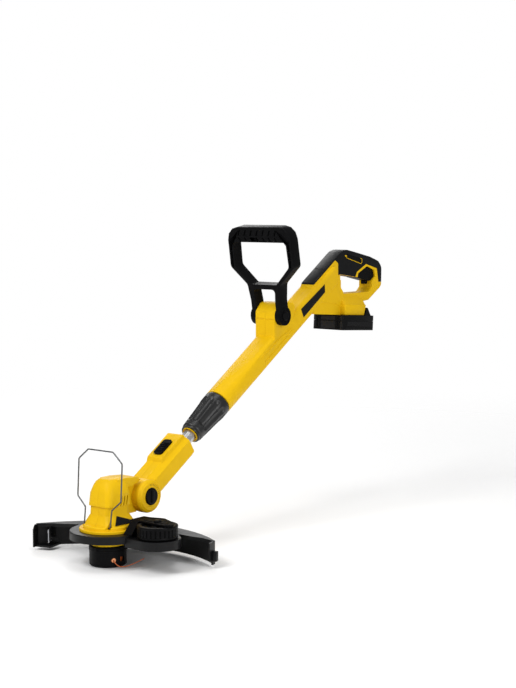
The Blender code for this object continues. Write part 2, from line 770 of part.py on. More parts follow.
def motor_housing():
    front = HOUSING_FRONT
    rear = HOUSING_REAR
    half = HOUSING_HALF
    flange_low = DISC_TOP + GAP
    body = turned("motor_housing", [
        (0.0, STEP_TOP), (STEP_R - 0.002, STEP_TOP), (STEP_R, STEP_TOP - 0.002),
        (STEP_R, flange_low + FLANGE_TIER), (FLANGE_R - 0.001, flange_low + FLANGE_TIER),
        (FLANGE_R, flange_low + FLANGE_TIER - 0.001), (FLANGE_R, flange_low), (0.0, flange_low),
    ], steps=36)
    lip = LEDGE_LIP
    lower = loft("lower_body", [
        housing_ring(front - 0.008, rear + 0.008, half + 0.009, 0.018, STEP_TOP - 0.001),
        housing_ring(front - 0.003, rear + 0.004, half + 0.0052, 0.014, STEP_TOP + 0.006),
        housing_ring(front + lip - 0.001, rear - lip + 0.001, half - lip + 0.001, 0.012,
                     STEP_TOP + 0.018),
        housing_ring(front + lip, rear - lip, half - lip, 0.011, LEDGE_Z),
    ])
    upper = loft("upper_body", [
        housing_ring(front, rear, half, 0.012, LEDGE_Z - 0.001),
        housing_ring(front + 0.002, rear, half - 0.001, 0.013, LEDGE_Z + 0.022),
        housing_ring(front + 0.006, rear - 0.001, half - 0.0045, 0.014, HOUSING_TOP - 0.013),
        housing_ring(front + 0.010, rear - 0.002, half - 0.008, 0.014, HOUSING_TOP - 0.005),
        housing_ring(front + 0.016, rear - 0.006, half - 0.014, 0.012, HOUSING_TOP),
    ])
    roof = prism("roof_lip", [
        (0.0, LEDGE_Z + 0.030, 0.0), (rear + 0.006, LEDGE_Z + 0.030, 0.004),
        (rear + 0.028, HOUSING_TOP - 0.012, 0.002), (rear + 0.026, HOUSING_TOP - 0.0035, 0.003),
        (rear - 0.008, HOUSING_TOP - 0.0006, 0.004), (0.004, HOUSING_TOP - 0.0006, 0.0),
    ], -ROOF_HALF, ROOF_HALF)
    soften(roof, 0.003)
    tongue_half = EAR_INNER - 2.0 * GAP
    web = prism("tongue_web", [
        (0.0, PIVOT_Z - 0.029, 0.0), (PIVOT_X - 0.020, PIVOT_Z - 0.029, 0.004),
        (PIVOT_X, PIVOT_Z - 0.020, 0.0), (PIVOT_X, PIVOT_Z + 0.020, 0.0),
        (PIVOT_X - 0.018, PIVOT_Z + 0.0165, 0.0), (PIVOT_X - 0.034, PIVOT_Z + 0.0310, 0.003),
        (0.0, PIVOT_Z + 0.034, 0.0),
    ], -tongue_half, tongue_half)
    knuckle = rod("tongue_knuckle", TONGUE_R, -tongue_half, tongue_half, "Y",
                  (PIVOT_X, PIVOT_Z), sides=28)
    join(body, lower, upper, roof, web, knuckle)
    shaft_bore = rod("shaft_bore", SHAFT_R + RUN, 0.0, STEP_TOP + 0.010, sides=16)
    fan_room = MOTOR_TOP + FAN_H + 0.004
    motor_bore = turned("motor_bore", [
        (0.0, fan_room), (FAN_R + RUN, fan_room), (FAN_R + RUN, MOTOR_TOP + GAP),
        (MOTOR_R + GAP, MOTOR_TOP + GAP), (MOTOR_R + GAP, STEP_TOP - 0.001), (0.0, STEP_TOP - 0.001),
    ], steps=24)
    shaft_well = rod("shaft_well", SHAFT_R + RUN, MOTOR_TOP, SHAFT_TOP + 0.002, sides=16)
    pin_bore = rod("pin_bore", PIN_R + GAP, -0.03, 0.03, "Y", (PIVOT_X, PIVOT_Z), sides=20)
    cut(body, shaft_bore, motor_bore, shaft_well, pin_bore)
    for index in range(VENT_COUNT):
        start_x = 0.0025 + VENT_PITCH * index
        for side in (-1.0, 1.0):
            slot = prism("vent", [
                (start_x, LEDGE_Z - 0.002, 0.0012), (start_x + VENT_W, LEDGE_Z - 0.002, 0.0012),
                (start_x + VENT_W + 0.0045, LEDGE_Z + 0.017, 0.0012),
                (start_x + 0.0045, LEDGE_Z + 0.017, 0.0012),
            ], side * 0.027 - 0.010, side * 0.027 + 0.010)
            cut(body, slot)
    foot_z = WIRE_Z
    for side in (-1.0, 1.0):
        slot_half = WIRE_R + 0.0008
        y = side * WIRE_HALF
        inner = side * (WIRE_HALF - 0.0045)
        outer = side * (WIRE_HALF + slot_half)
        slot = box("wire_slot", (-FLANGE_R - 0.01, min(inner, outer), foot_z - slot_half - 0.0002),
                   (WIRE_X + slot_half + 0.0006, max(inner, outer), STEP_TOP + 0.03))
        cut(body, slot)
        near = min(y, y - side * (WIRE_TAIL + GAP))
        far = max(y, y - side * (WIRE_TAIL + GAP))
        cut(body, rod("wire_hole", WIRE_R + GAP, near, far, "Y", (WIRE_X, foot_z), sides=12))
    for side in (-1.0, 1.0):
        y = side * GUARD_SCREW_Y
        cut(body, rod("guard_screw_hole", SCREW_R + GAP, 0.0, STEP_TOP - 0.002, at=(GUARD_SCREW_X, y),
                      sides=10))
    return halves(body, ("motor_housing_left", "motor_housing_right"), "yellow")


def motor_parts():
    turned("motor_can", [
        (SHAFT_R + GAP, MOTOR_TOP), (MOTOR_R - 0.002, MOTOR_TOP), (MOTOR_R, MOTOR_TOP - 0.002),
        (MOTOR_R, STEP_TOP + GAP), (SHAFT_R + GAP, STEP_TOP + GAP),
    ], "steel", steps=24)
    top = DISC_TOP
    roof_low = top - RING_ROOF
    seat = roof_low + BEARING_LIP
    turned("base_ring", [
        (BEARING_R + GAP, top), (RING_R, top), (RING_R, RING_LOW), (RING_R - 0.003, RING_LOW),
        (RING_R - 0.003, roof_low), (SHAFT_R + RUN, roof_low), (SHAFT_R + RUN, seat),
        (BEARING_R + GAP, seat),
    ], "yellow", steps=28)
    turned("shaft_bearing", [
        (SHAFT_R + GAP, seat + GAP + BEARING_H), (BEARING_R, seat + GAP + BEARING_H),
        (BEARING_R, seat + GAP), (SHAFT_R + GAP, seat + GAP),
    ], "steel", steps=20)


def guard_height(radius, drop=0.0):
    """The deck's top surface, flat over the disc, then a cone down to a ledge."""
    if radius <= GUARD_SHOULDER:
        return DISC_TOP - drop
    if radius <= GUARD_LEDGE_R:
        fall = (DISC_TOP - GUARD_LEDGE) / (GUARD_LEDGE_R - GUARD_SHOULDER)
        return DISC_TOP - fall * (radius - GUARD_SHOULDER) - drop
    fall = (GUARD_LEDGE - GUARD_TIP_TOP) / (GUARD_TIP - GUARD_LEDGE_R)
    return GUARD_LEDGE - fall * (radius - GUARD_LEDGE_R) - drop


def guard_rear(across, shrink=0.0):
    """Where the swept rear wall lies at a place across the guard."""
    radius = GUARD_ARC_R - shrink
    return GUARD_APEX - GUARD_ARC_R + math.sqrt(radius ** 2 - across ** 2)


BLADE_FRONT = guard_rear(BLADE_ACROSS, GUARD_WALL) - BLADE_AHEAD
BLADE_TOP = guard_height(BLADE_ACROSS, DISC_PLATE) - BLADE_UNDER
BLADE_LOW = BLADE_TOP - BLADE_TALL


def guard_plan(shrink=0.0, front=None):
    """Outline of the deck: a swept rear wall and a stepped front edge."""
    tip = GUARD_TIP - shrink
    corners = []
    parts = 18
    for part in range(parts + 1):
        across = -tip + 2.0 * tip * part / parts
        corners.append((guard_rear(across, shrink), across, 0.0))
    tip_front = guard_rear(GUARD_TIP) - TIP_DEPTH
    edge = [(tip_front, GUARD_TIP), (tip_front + 0.012, GUARD_TIP - 0.028),
            (tip_front + 0.013, GUARD_TIP - 0.054), (tip_front + 0.020, GUARD_TIP - 0.082),
            (tip_front - 0.015, GUARD_TIP - 0.128)]
    if front is not None:
        return corners + [(front, tip, 0.0), (front, -tip, 0.0)]
    far = [(ahead + shrink, min(across, tip), 0.0) for ahead, across in edge]
    near = [(ahead, -across, 0.0) for ahead, across, _ in reversed(far)]
    return corners + far + near


def guard_roof(title, drop, low):
    wide = GUARD_TIP + 0.023
    return turned(title, [
        (0.0, guard_height(0.0, drop)), (GUARD_SHOULDER, guard_height(0.0, drop)),
        (GUARD_LEDGE_R, guard_height(GUARD_LEDGE_R, drop)), (wide, guard_height(wide, drop)),
        (wide, low), (0.0, low),
    ], None, GUARD, steps=40)


def guard():
    body = prism("guard_body", guard_plan(), GUARD_LOW, DISC_TOP + 0.001, "Z", None, GUARD)
    keep(body, guard_roof("guard_top", 0.0, GUARD_LOW - 0.01))
    hollow = prism("guard_hollow", guard_plan(GUARD_WALL), GUARD_LOW - 0.005, DISC_TOP, "Z",
                   None, GUARD)
    keep(hollow, guard_roof("guard_ceiling", DISC_PLATE, GUARD_LOW - 0.01))
    mouth = prism("guard_mouth", guard_plan(GUARD_WALL, -0.03), GUARD_LOW - 0.005, DISC_TOP, "Z",
                  None, GUARD)
    keep(mouth, guard_roof("guard_lip_line", DISC_PLATE + GUARD_LIP, GUARD_LOW - 0.01))
    cut(body, hollow, mouth)
    rim = 0.003
    disc = turned("guard_disc", [
        (RING_R + GAP, DISC_TOP), (DISC_R - 0.0015, DISC_TOP), (DISC_R, DISC_TOP - 0.0015),
        (DISC_R, DISC_LOW), (DISC_R - rim, DISC_LOW), (DISC_R - rim, DISC_TOP - DISC_PLATE),
        (RING_R + GAP, DISC_TOP - DISC_PLATE),
    ], steps=36)
    centre_hole = rod("guard_centre", DISC_R - 0.6 * rim, 0.0, DISC_TOP + 0.01, sides=36)
    cut(body, centre_hole)
    join(body, disc)
    ear = rod("wheel_ear", EAR_R, EAR_LOW, EAR_TOP, at=(WHEEL_X, WHEEL_Y), sides=32)
    bridge = prism("ear_bridge", [
        (-0.0245, -0.066, 0.0), (-0.0275, -0.106, 0.0), (0.057, -0.106, 0.0), (0.066, -0.063, 0.0),
        (0.030, -0.058, 0.0),
    ], EAR_LOW, EAR_TOP, "Z")
    wing_bridge = prism("wing_bridge", [
        (0.050, -0.052, 0.0), (0.052, -0.120, 0.010), (0.103, -0.088, 0.0), (0.104, -0.060, 0.0),
    ], BRIDGE_LOW, EAR_TOP, "Z")
    keep(wing_bridge, guard_roof("bridge_top", 0.0004, BRIDGE_LOW - 0.01))
    join(ear, bridge)
    under = EAR_TOP - DISC_PLATE
    ear_hollow = rod("ear_hollow", EAR_R - GUARD_WALL, EAR_LOW - 0.01, under,
                     at=(WHEEL_X, WHEEL_Y), sides=32)
    cut(ear, ear_hollow)
    cut(ear, rod("ear_disc_side", DISC_R - 0.4 * rim, 0.0, 0.1, sides=36))
    cut(wing_bridge, rod("bridge_disc_side", DISC_R - 0.4 * rim, 0.0, 0.1, sides=36))
    hub = rod("ear_hub", 0.009, EAR_LOW + 0.002, EAR_TOP - 0.001, at=(WHEEL_X, WHEEL_Y), sides=24)
    join(body, ear, wing_bridge, hub)
    cut(body, rod("axle_hole", AXLE_R + GAP, 0.0, 0.1, at=(WHEEL_X, WHEEL_Y), sides=16))
    back = guard_rear(GUARD_TIP)
    top = GUARD_TIP_TOP
    near_end = prism("near_end_plate", [
        (back - 0.0211, 0.0300, 0.0), (back - 0.0151, 0.0120, 0.0), (back - 0.0091, 0.0120, 0.0),
        (back - 0.0091, GUARD_LOW, 0.0), (back + 0.0019, GUARD_LOW, 0.0),
        (back + 0.0019, top - 0.0008, 0.0), (back - 0.0211, top - 0.0018, 0.002),
    ], -GUARD_TIP, -GUARD_TIP + GUARD_WALL, "Y", None, GUARD)
    near_tab = box("near_tab", (back - 0.0111, -GUARD_TIP - TAB_OUT, 0.012),
                   (back - 0.0011, -GUARD_TIP + GUARD_WALL / 2.0, 0.031), None, GUARD)
    soften(near_tab, 0.0012, 2)
    far_end = prism("far_end_plate", [
        (back - 0.0171, GUARD_LOW, 0.0), (back + 0.0019, GUARD_LOW, 0.0),
        (back + 0.0019, top - 0.0008, 0.0), (back - 0.0111, top - 0.0013, 0.0),
        (back - 0.0171, 0.0400, 0.0),
    ], GUARD_TIP - GUARD_WALL, GUARD_TIP, "Y", None, GUARD)
    foot_across = GUARD_TIP - 0.036
    foot = prism("far_foot", [
        (back - 0.0091, foot_across, 0.0), (guard_rear(foot_across) - 0.0030, foot_across, 0.0),
        (back + 0.0029, GUARD_TIP - 0.001, 0.0), (back - 0.0111, GUARD_TIP - 0.001, 0.0),
    ], GUARD_LOW, GUARD_LOW + 0.004, "Z", None, GUARD)
    rib_back = guard_rear(BLADE_ACROSS, GUARD_WALL / 2.0)
    rib_top = guard_height(BLADE_ACROSS, DISC_PLATE / 2.0)
    rib = prism("blade_rib", [
        (BLADE_FRONT + 0.002, BLADE_TOP - 0.014, 0.0), (rib_back, BLADE_TOP - 0.018, 0.0),
        (rib_back, rib_top, 0.0), (BLADE_FRONT + 0.012, rib_top, 0.0),
        (BLADE_FRONT, BLADE_TOP + 0.002, 0.0),
    ], BLADE_ACROSS - BLADE_RIB, BLADE_ACROSS, "Y", None, GUARD)
    join(body, near_end, near_tab, far_end, foot, rib)
    cut(body, rod("blade_screw_hole", SCREW_R + GAP, BLADE_ACROSS - 0.006, BLADE_ACROSS + 0.006,
                  "Y", (BLADE_FRONT + 0.006, BLADE_TOP - 0.006), None, GUARD, sides=10))
    for side in (-1.0, 1.0):
        cut(body, rod("guard_hole", SCREW_R + GAP, 0.0, 0.1,
                      at=(GUARD_SCREW_X, side * GUARD_SCREW_Y), sides=10))
    made = settled(sturdy(body), "guard", "black")
    return round_shading(made)


def guard_fittings():
    blade = prism("line_cutter_blade", [
        (BLADE_FRONT, BLADE_LOW, 0.0), (BLADE_FRONT + 0.011, BLADE_LOW + 0.003, 0.0),
        (BLADE_FRONT + 0.011, BLADE_TOP, 0.0), (BLADE_FRONT, BLADE_TOP, 0.0),
    ], BLADE_ACROSS + GAP, BLADE_ACROSS + GAP + 0.0015, "Y", "steel", GUARD)
    hole_at = (BLADE_FRONT + 0.006, BLADE_TOP - 0.006)
    cut(blade, rod("blade_hole", SCREW_R + GAP, BLADE_ACROSS - 0.01, BLADE_ACROSS + 0.01, "Y",
                   hole_at, None, GUARD, sides=10))
    head_at = BLADE_ACROSS + 2.0 * GAP + 0.0015
    screw = rod("blade_screw", SCREW_R, BLADE_ACROSS - BLADE_RIB, head_at + 0.0005, "Y", hole_at,
                "steel", GUARD, sides=10)
    join(screw, rod("blade_screw_head", SCREW_HEAD_R, head_at, head_at + SCREW_HEAD_H, "Y",
                    hole_at, None, GUARD, sides=16))
    for title, side in (("guard_screw_near", -1.0), ("guard_screw_far", 1.0)):
        at = (GUARD_SCREW_X, side * GUARD_SCREW_Y)
        seat = DISC_TOP - DISC_PLATE - GAP
        stem = rod(title, SCREW_R, seat - 0.001, STEP_TOP - 0.003, at=at, colour="steel", sides=10)
        join(stem, rod("guard_screw_head", SCREW_HEAD_R, seat - SCREW_HEAD_H, seat, at=at, sides=16))


def edge_wheel():
    low = WHEEL_LOW
    top = WHEEL_LOW + WHEEL_H
    bead = WHEEL_R - 0.0022
    turned("edge_wheel", [
        (WHEEL_BORE, top - 0.0005), (0.010, top - 0.0005), (0.013, top - 0.0035),
        (0.027, top - 0.0035), (0.030, top), (WHEEL_R - 0.0015, top), (WHEEL_R, top - 0.002),
        (WHEEL_R, top - 0.0045), (bead, top - 0.0055), (bead, low + 0.0055), (WHEEL_R, low + 0.0045),
        (WHEEL_R, low + 0.002), (WHEEL_R - 0.0015, low), (0.030, low), (0.027, low + 0.004),
        (0.011, low + 0.004), (0.009, EAR_TOP + GAP), (WHEEL_BORE, EAR_TOP + GAP),
    ], "black", steps=32, at=(WHEEL_X, WHEEL_Y, 0.0))
    under = WHEEL_LOW + WHEEL_H + 0.0012
    top_face = under + COVER_PLATE
    cover = prism("wheel_cover_plate", [
        (0.007, -0.060, 0.0), (0.040, -0.066, 0.004), (0.050, -0.098, 0.010),
        (0.034, -0.131, 0.008), (0.014, -0.152, 0.004), (0.001, -0.138, 0.006),
    ], under, top_face, "Z")
    riser = prism("cover_riser", [
        (HOUSING_FRONT + 0.011, DISC_TOP + GAP, 0.0), (0.044, DISC_TOP + GAP, 0.0),
        (0.041, top_face, 0.0), (0.007, top_face, 0.0),
    ], -0.0735, -0.0540, "Y")
    cut(riser, rod("flange_clear", FLANGE_R + 0.0015, 0.0, 0.2, sides=36))
    cut(riser, rod("wheel_clear", WHEEL_R + 0.002, 0.0, under, at=(WHEEL_X, WHEEL_Y), sides=32))
    join(cover, riser)
    cut(cover, rod("cover_hole", AXLE_R + GAP, 0.0, 0.2, at=(WHEEL_X, WHEEL_Y), sides=16))
    settled(sturdy(cover), "wheel_bracket", "black")
    turned("wheel_axle", [
        (0.0, top_face + 0.0045), (0.005, top_face + 0.0045), (0.0075, top_face + 0.0025),
        (0.0075, top_face + GAP), (AXLE_R, top_face + GAP), (AXLE_R, EAR_LOW), (0.0, EAR_LOW),
    ], "grey", steps=20, at=(WHEEL_X, WHEEL_Y, 0.0))


def flower_guard():
    half = WIRE_HALF
    tail = WIRE_TAIL
    right = [
        (0.0, half - tail, 0.0), (0.0, half, 0.0), (0.004, half + 0.0005, 0.0329),
        (0.006, WIRE_WIDE, 0.0513), (0.010, WIRE_WIDE, 0.1213), (0.011, 0.0315, WIRE_H),
    ]
    left = [(x, -y, z) for x, y, z in reversed(right)]
    whole = bent_path(right + left, 0.006, 30.0)
    wire = tube("flower_guard", whole, WIRE_R, "steel")
    wire.location = (WIRE_X, 0.0, WIRE_Z)


def head_label():
    low = STEP_TOP + 0.0015
    plate = prism("head_label_plate", [
        (-0.020, 0.0, 0.001), (0.0275, 0.0, 0.001), (0.0275, 0.005, 0.001), (-0.007, 0.0185, 0.001),
    ], -0.0005, 0.0005, "Y", "black")
    plate.location = (0.0, -(HOUSING_HALF + 0.0085), low)
    plate.rotation_euler = (-math.radians(28.6), 0.0, 0.0)
    return plate


# Neck: two halves round the tongue, the swivel bush and their buttons

def round_pad(title, spread, low, high):
    """The neck button's upright outline, wider all round by the spread."""
    half = NECK_BUTTON_L / 2.0 + spread
    side = NECK_BUTTON_W / 2.0 + spread
    corner = NECK_BUTTON_ROUND + spread
    return prism(title, [
        (NECK_BUTTON_S - half, -side, corner), (NECK_BUTTON_S + half, -side, corner),
        (NECK_BUTTON_S + half, side, corner), (NECK_BUTTON_S - half, side, corner),
    ], low, high, "Z", None, SHAFT)


def neck():
    half = NECK_HALF
    high = NECK_HIGH
    edge = NECK_CHAMFER
    body = prism("neck_body", [
        (-half + edge, -high, 0.0), (half - edge, -high, 0.0), (half, -high + edge, 0.0),
        (half, high - edge, 0.0), (half - edge, high, 0.0), (-half + edge, high, 0.0),
        (-half, high - edge, 0.0), (-half, -high + edge, 0.0),
    ], EAR_INNER, NECK_END, "X", None, SHAFT)
    drum = turned("neck_drum", [
        (0.0, DRUM_HALF), (DRUM_R - 0.0065, DRUM_HALF), (DRUM_R - 0.002, DRUM_HALF - 0.002),
        (DRUM_R, DRUM_HALF - 0.0065), (DRUM_R, -DRUM_HALF + 0.0065),
        (DRUM_R - 0.002, -DRUM_HALF + 0.002), (DRUM_R - 0.0065, -DRUM_HALF), (0.0, -DRUM_HALF),
    ], None, SHAFT, steps=32, axis="Y")
    plateau = prism("neck_plateau", [
        (PLATEAU_START - 0.010, high - 0.004, 0.0), (NECK_END - 0.001, high - 0.004, 0.0),
        (NECK_END - 0.001, PLATEAU_TOP, 0.003), (PLATEAU_START, PLATEAU_TOP, 0.004),
    ], -PLATEAU_HALF, PLATEAU_HALF, "Y", None, SHAFT)
    soften(plateau, 0.002)
    join(body, drum, plateau)
    slot = box("tongue_slot", (-0.05, -EAR_INNER, -0.05), (EAR_INNER + 0.0005, EAR_INNER, 0.05),
               None, SHAFT)
    sweep = rod("tongue_sweep", TONGUE_R + RUN, -EAR_INNER, EAR_INNER, "Y", (0.0, 0.0),
                None, SHAFT, sides=28)
    bore = rod("bush_bore", TUBE_R + BUSH_WALL + 2.0 * GAP, TUBE_START - 0.004, 0.3, "X",
               (0.0, 0.0), None, SHAFT, sides=24)
    pin = rod("neck_pin_bore", PIN_R + GAP, -0.03, 0.03, "Y", (0.0, 0.0), None, SHAFT, sides=20)
    floor = DRUM_HALF - BUTTON_WELL
    well = rod("button_well", BUTTON_R + GAP, -0.05, -floor, "Y", (0.0, 0.0), None, SHAFT, sides=32)
    ring = rod("spring_well", BUTTON_SPRING_R + GAP, -0.05, -floor + SPRING_WELL, "Y", (0.0, 0.0),
               None, SHAFT, sides=24)
    cap_well = rod("cap_well", CAP_R + GAP, DRUM_HALF - 0.003, 0.05, "Y", (0.0, 0.0), None, SHAFT,
                   sides=28)
    pad_floor = PLATEAU_TOP - NECK_WELL
    pad_well = round_pad("pad_well", GAP, pad_floor, 0.05)
    pad_ring = rod("pad_spring_well", PAD_SPRING_R + GAP, pad_floor - PAD_SPRING_H - GAP, 0.05,
                   "Z", (NECK_BUTTON_S, 0.0), None, SHAFT, sides=16)
    cut(body, slot, sweep, bore, pin, well, ring, cap_well, pad_well, pad_ring)
    halves(body, ("neck_left", "neck_right"), "yellow")
    turned("swivel_bush", [
        (TUBE_R + GAP, BUSH_END), (TUBE_R + GAP + BUSH_WALL, BUSH_END),
        (TUBE_R + GAP + BUSH_WALL, TUBE_START - 0.003), (TUBE_R + GAP, TUBE_START - 0.003),
    ], "black", SHAFT, steps=24, axis="X")
    rod("pivot_pin", PIN_R, -floor + SPRING_WELL + 0.001, 0.0275, "Y", (PIVOT_X, PIVOT_Z), "steel",
        sides=20)
    back = -(floor + BUTTON_TRAVEL + 0.0005)
    face = -(DRUM_HALF + BUTTON_OUT)
    button = turned("pivot_button", [
        (0.0, back), (BUTTON_R, back), (BUTTON_R, face + 0.0015), (BUTTON_R - 0.0015, face),
        (0.0, face),
    ], None, SHAFT, steps=32, axis="Y")
    ridge = box("button_ridge", (PIVOT_X - RIDGE_HALF, face - 0.0022, PIVOT_Z - RIDGE_TALL),
                (PIVOT_X + RIDGE_HALF, face + 0.001, PIVOT_Z + RIDGE_TALL))
    join(button, ridge)
    round_shading(settled(button, "pivot_button", "gloss_black"))
    turned("pivot_spring", [
        (BUTTON_SPRING_R - 0.0025, -floor + SPRING_WELL - GAP),
        (BUTTON_SPRING_R, -floor + SPRING_WELL - GAP), (BUTTON_SPRING_R, -floor + GAP),
        (BUTTON_SPRING_R - 0.0025, -floor + GAP),
    ], "steel", SHAFT, steps=20, axis="Y")
    turned("pivot_cap", [
        (0.0, DRUM_HALF + 0.001), (CAP_R - 0.001, DRUM_HALF + 0.001), (CAP_R, DRUM_HALF),
        (CAP_R, DRUM_HALF - 0.003 + GAP), (0.0, DRUM_HALF - 0.003 + GAP),
    ], "black", SHAFT, steps=28, axis="Y")
    pad_low = pad_floor + NECK_BUTTON_TRAVEL + 0.0005
    pad_top = PLATEAU_TOP + NECK_BUTTON_OUT
    pad = round_pad("neck_pad", 0.0, pad_low, pad_top)
    for step in (-2, -1, 0, 1, 2):
        mid = NECK_BUTTON_S + 0.0052 * step
        rib = box("pad_rib", (mid - 0.001, -0.0075, pad_top - 0.001),
                  (mid + 0.001, 0.0075, pad_top + 0.0012), None, SHAFT)
        join(pad, rib)
    settled(pad, "neck_button", "soft_black")
    turned("neck_button_spring", [
        (PAD_SPRING_R - 0.0014, pad_floor - GAP), (PAD_SPRING_R, pad_floor - GAP),
        (PAD_SPRING_R, pad_floor - PAD_SPRING_H), (PAD_SPRING_R - 0.0014, pad_floor - PAD_SPRING_H),
    ], "steel", SHAFT, steps=16, at=(NECK_BUTTON_S, 0.0, 0.0))


# Telescopic tube, its lead and the locking collar

def telescope():
    inner = TUBE_R - TUBE_WALL
    turned("inner_tube", [
        (inner, TUBE_END), (TUBE_R, TUBE_END), (TUBE_R, TUBE_START), (inner, TUBE_START),
    ], "aluminium", SHAFT, steps=24, axis="X")
    plug_r = inner - GAP
    turned("tube_end_guide", [
        (LEAD_R + GAP, TUBE_END + 0.002), (TUBE_R, TUBE_END + 0.002), (TUBE_R, TUBE_END + GAP),
        (plug_r, TUBE_END + GAP), (plug_r, TUBE_END - 0.010), (LEAD_R + GAP, TUBE_END - 0.010),
    ], "black", SHAFT, steps=24, axis="X")
    rod("motor_lead", LEAD_R, TUBE_START + 0.002, TUBE_END + 0.004, "X", (0.0, 0.0), "black", SHAFT,
        sides=8)
    clamp_r = TUBE_R + GAP + CLAMP_WALL
    turned("clamp_bush", [
        (TUBE_R + GAP, SPIGOT_START - GAP), (clamp_r, SPIGOT_START - GAP),
        (clamp_r, COLLAR_START - 0.0015), (clamp_r - BUSH_RIM, COLLAR_START - 0.0015),
        (clamp_r - BUSH_RIM, COLLAR_START + 0.0010), (TUBE_R + GAP, COLLAR_START + 0.0010),
    ], "yellow", SHAFT, steps=24, axis="X")
    collar = turned("collar_body", [
        (SPIGOT_R + GAP, COLLAR_END), (COLLAR_R - 0.0035, COLLAR_END), (COLLAR_R - 0.001, COLLAR_END - 0.001),
        (COLLAR_R, COLLAR_END - 0.0035), (COLLAR_R, COLLAR_END - 0.020),
        (COLLAR_R - 0.0015, COLLAR_END - 0.032), (COLLAR_NOSE_R + 0.002, COLLAR_START + 0.010),
        (COLLAR_NOSE_R + 0.0018, COLLAR_START + 0.007), (COLLAR_NOSE_R, COLLAR_START + 0.0055),
        (COLLAR_NOSE_R, COLLAR_START + 0.0012), (COLLAR_NOSE_R - 0.0012, COLLAR_START),
        (clamp_r + GAP, COLLAR_START), (clamp_r + GAP, SPIGOT_START - 2.0 * GAP),
        (SPIGOT_R + GAP, SPIGOT_START - 2.0 * GAP),
    ], None, SHAFT, steps=30, axis="X")
    flute = turned("collar_flute", flute_profile(), None, None, steps=8, axis="X")
    flute = settled(flute, "collar_flute")
    for index in range(FLUTE_COUNT):
        angle = 2.0 * math.pi * (index + 0.5) / FLUTE_COUNT
        groove = copied(flute, "collar_flute")
        groove.parent = SHAFT
        middle = COLLAR_START + FLUTE_MIDDLE
        tilt = math.atan2(COLLAR_R - COLLAR_NOSE_R - 0.002, COLLAR_END - COLLAR_START - 0.030)
        spot = Matrix.Translation((middle, 0.0, 0.0)) @ Matrix.Rotation(angle, 4, "X")
        out = Matrix.Translation((0.0, 0.0, FLUTE_OUT)) @ Matrix.Rotation(-tilt, 4, "Y")
        groove.matrix_basis = spot @ out @ flute.matrix_basis
        cut(collar, groove)
    bpy.data.objects.remove(flute, do_unlink=True)
    round_shading(settled(collar, "collar", "gloss_black"))


def flute_profile():
    """A spindle with round ends."""
    half = FLUTE_LENGTH / 2.0
    points = [(0.0, half)]
    for part in range(1, 3):
        angle = math.pi / 2.0 * part / 2
        points.append((FLUTE_R * math.sin(angle), half - FLUTE_R + FLUTE_R * math.cos(angle)))
    points += [(r, -z) for r, z in reversed(points)]
    return points


# Upper housing, from the spigot under the collar to the grip and the battery base

def body_ring(s, share, shrink=0.0):
    """The housing's section at s: share 0 is the round end, 1 the rounded rectangle."""
    across = ROUND_R + (SQUARE_HALF - ROUND_R) * share - shrink
    high = ROUND_R + (SQUARE_HIGH - ROUND_R) * share - shrink
    corner = ROUND_R + (SQUARE_CORNER - ROUND_R) * share - shrink
    return [(s, y, h) for y, h in ring_points(across, high, max(0.002, corner), 4)]


def body_share(s):
    t = min(1.0, max(0.0, (s - ROUND_END) / (SQUARE_START - ROUND_END)))
    return t * t * (3.0 - 2.0 * t)


def body_loft(title, start_s, end_s, shrink=0.0, steps=4):
    stops = [start_s]
    for part in range(steps + 1):
        stop = ROUND_END + (SQUARE_START - ROUND_END) * part / steps
        if start_s + 0.001 < stop < end_s - 0.001:
            stops.append(stop)
    stops.append(end_s)
    return loft(title, [body_ring(s, body_share(s), shrink) for s in stops], None, SHAFT)


GRIP_OUTLINE = [
    (0.640, 0.446, 0.0), (0.800, 0.450, 0.0), (0.839, 0.4530, 0.006), (0.8915, 0.4830, 0.012),
    (0.8925, 0.5260, 0.014), (0.880, 0.5400, 0.020), (0.845, 0.5508, 0.0), (0.783, 0.5632, 0.0),
    (0.752, 0.5690, 0.020), (0.7330, 0.5650, 0.020), (0.6315, 0.5003, 0.004), (0.625, 0.4880, 0.0),
]

FINGER_HOLE = [
    (0.7225, 0.4860, 0.008), (0.7370, 0.4715, 0.008), (0.8400, 0.4715, 0.008),
    (0.8525, 0.4815, 0.006), (0.8525, 0.4987, 0.0), (0.7225, 0.5160, 0.004),
]

TRIGGER_POCKET = [
    (0.7940, 0.4990, 0.0), (0.8520, 0.4950, 0.0), (0.8660, 0.5060, 0.003),
    (0.8620, 0.5200, 0.004), (0.8330, 0.5300, 0.003), (0.7975, 0.5150, 0.002),
]

LEVER_SLOT = [
    (0.7440, 0.5050, 0.0), (0.8040, 0.4950, 0.0), (0.8040, 0.5360, 0.0), (0.7640, 0.5360, 0.0),
    (0.7440, 0.5300, 0.0),
]

OVERMOULD_ZONE = [
    (0.6240, 0.4925, 0.0), (0.7081, 0.5462, 0.0), (0.7190, 0.5400, 0.003),
    (0.7200, 0.5035, 0.0), (0.7260, 0.5000, 0.0), (0.7860, 0.5000, 0.0), (0.7875, 0.5085, 0.002),
    (0.7930, 0.5180, 0.003), (0.8290, 0.5345, 0.003), (0.8720, 0.5235, 0.004),
    (0.8790, 0.4925, 0.0), (0.9150, 0.4900, 0.0), (0.9150, 0.5900, 0.0), (0.6240, 0.5900, 0.0),
]

SWITCH_BOX = ((0.772, -0.0065, 0.5375), (0.800, 0.0065, 0.5520))


TRIGGER_ROOM = [
    (0.7945, 0.4995, 0.0), (0.8520, 0.4950, 0.0), (0.8682, 0.5050, 0.0), (0.8684, 0.5165, 0.0),
    (0.8645, 0.5320, 0.003), (0.8335, 0.5390, 0.004), (0.7965, 0.5215, 0.0),
]


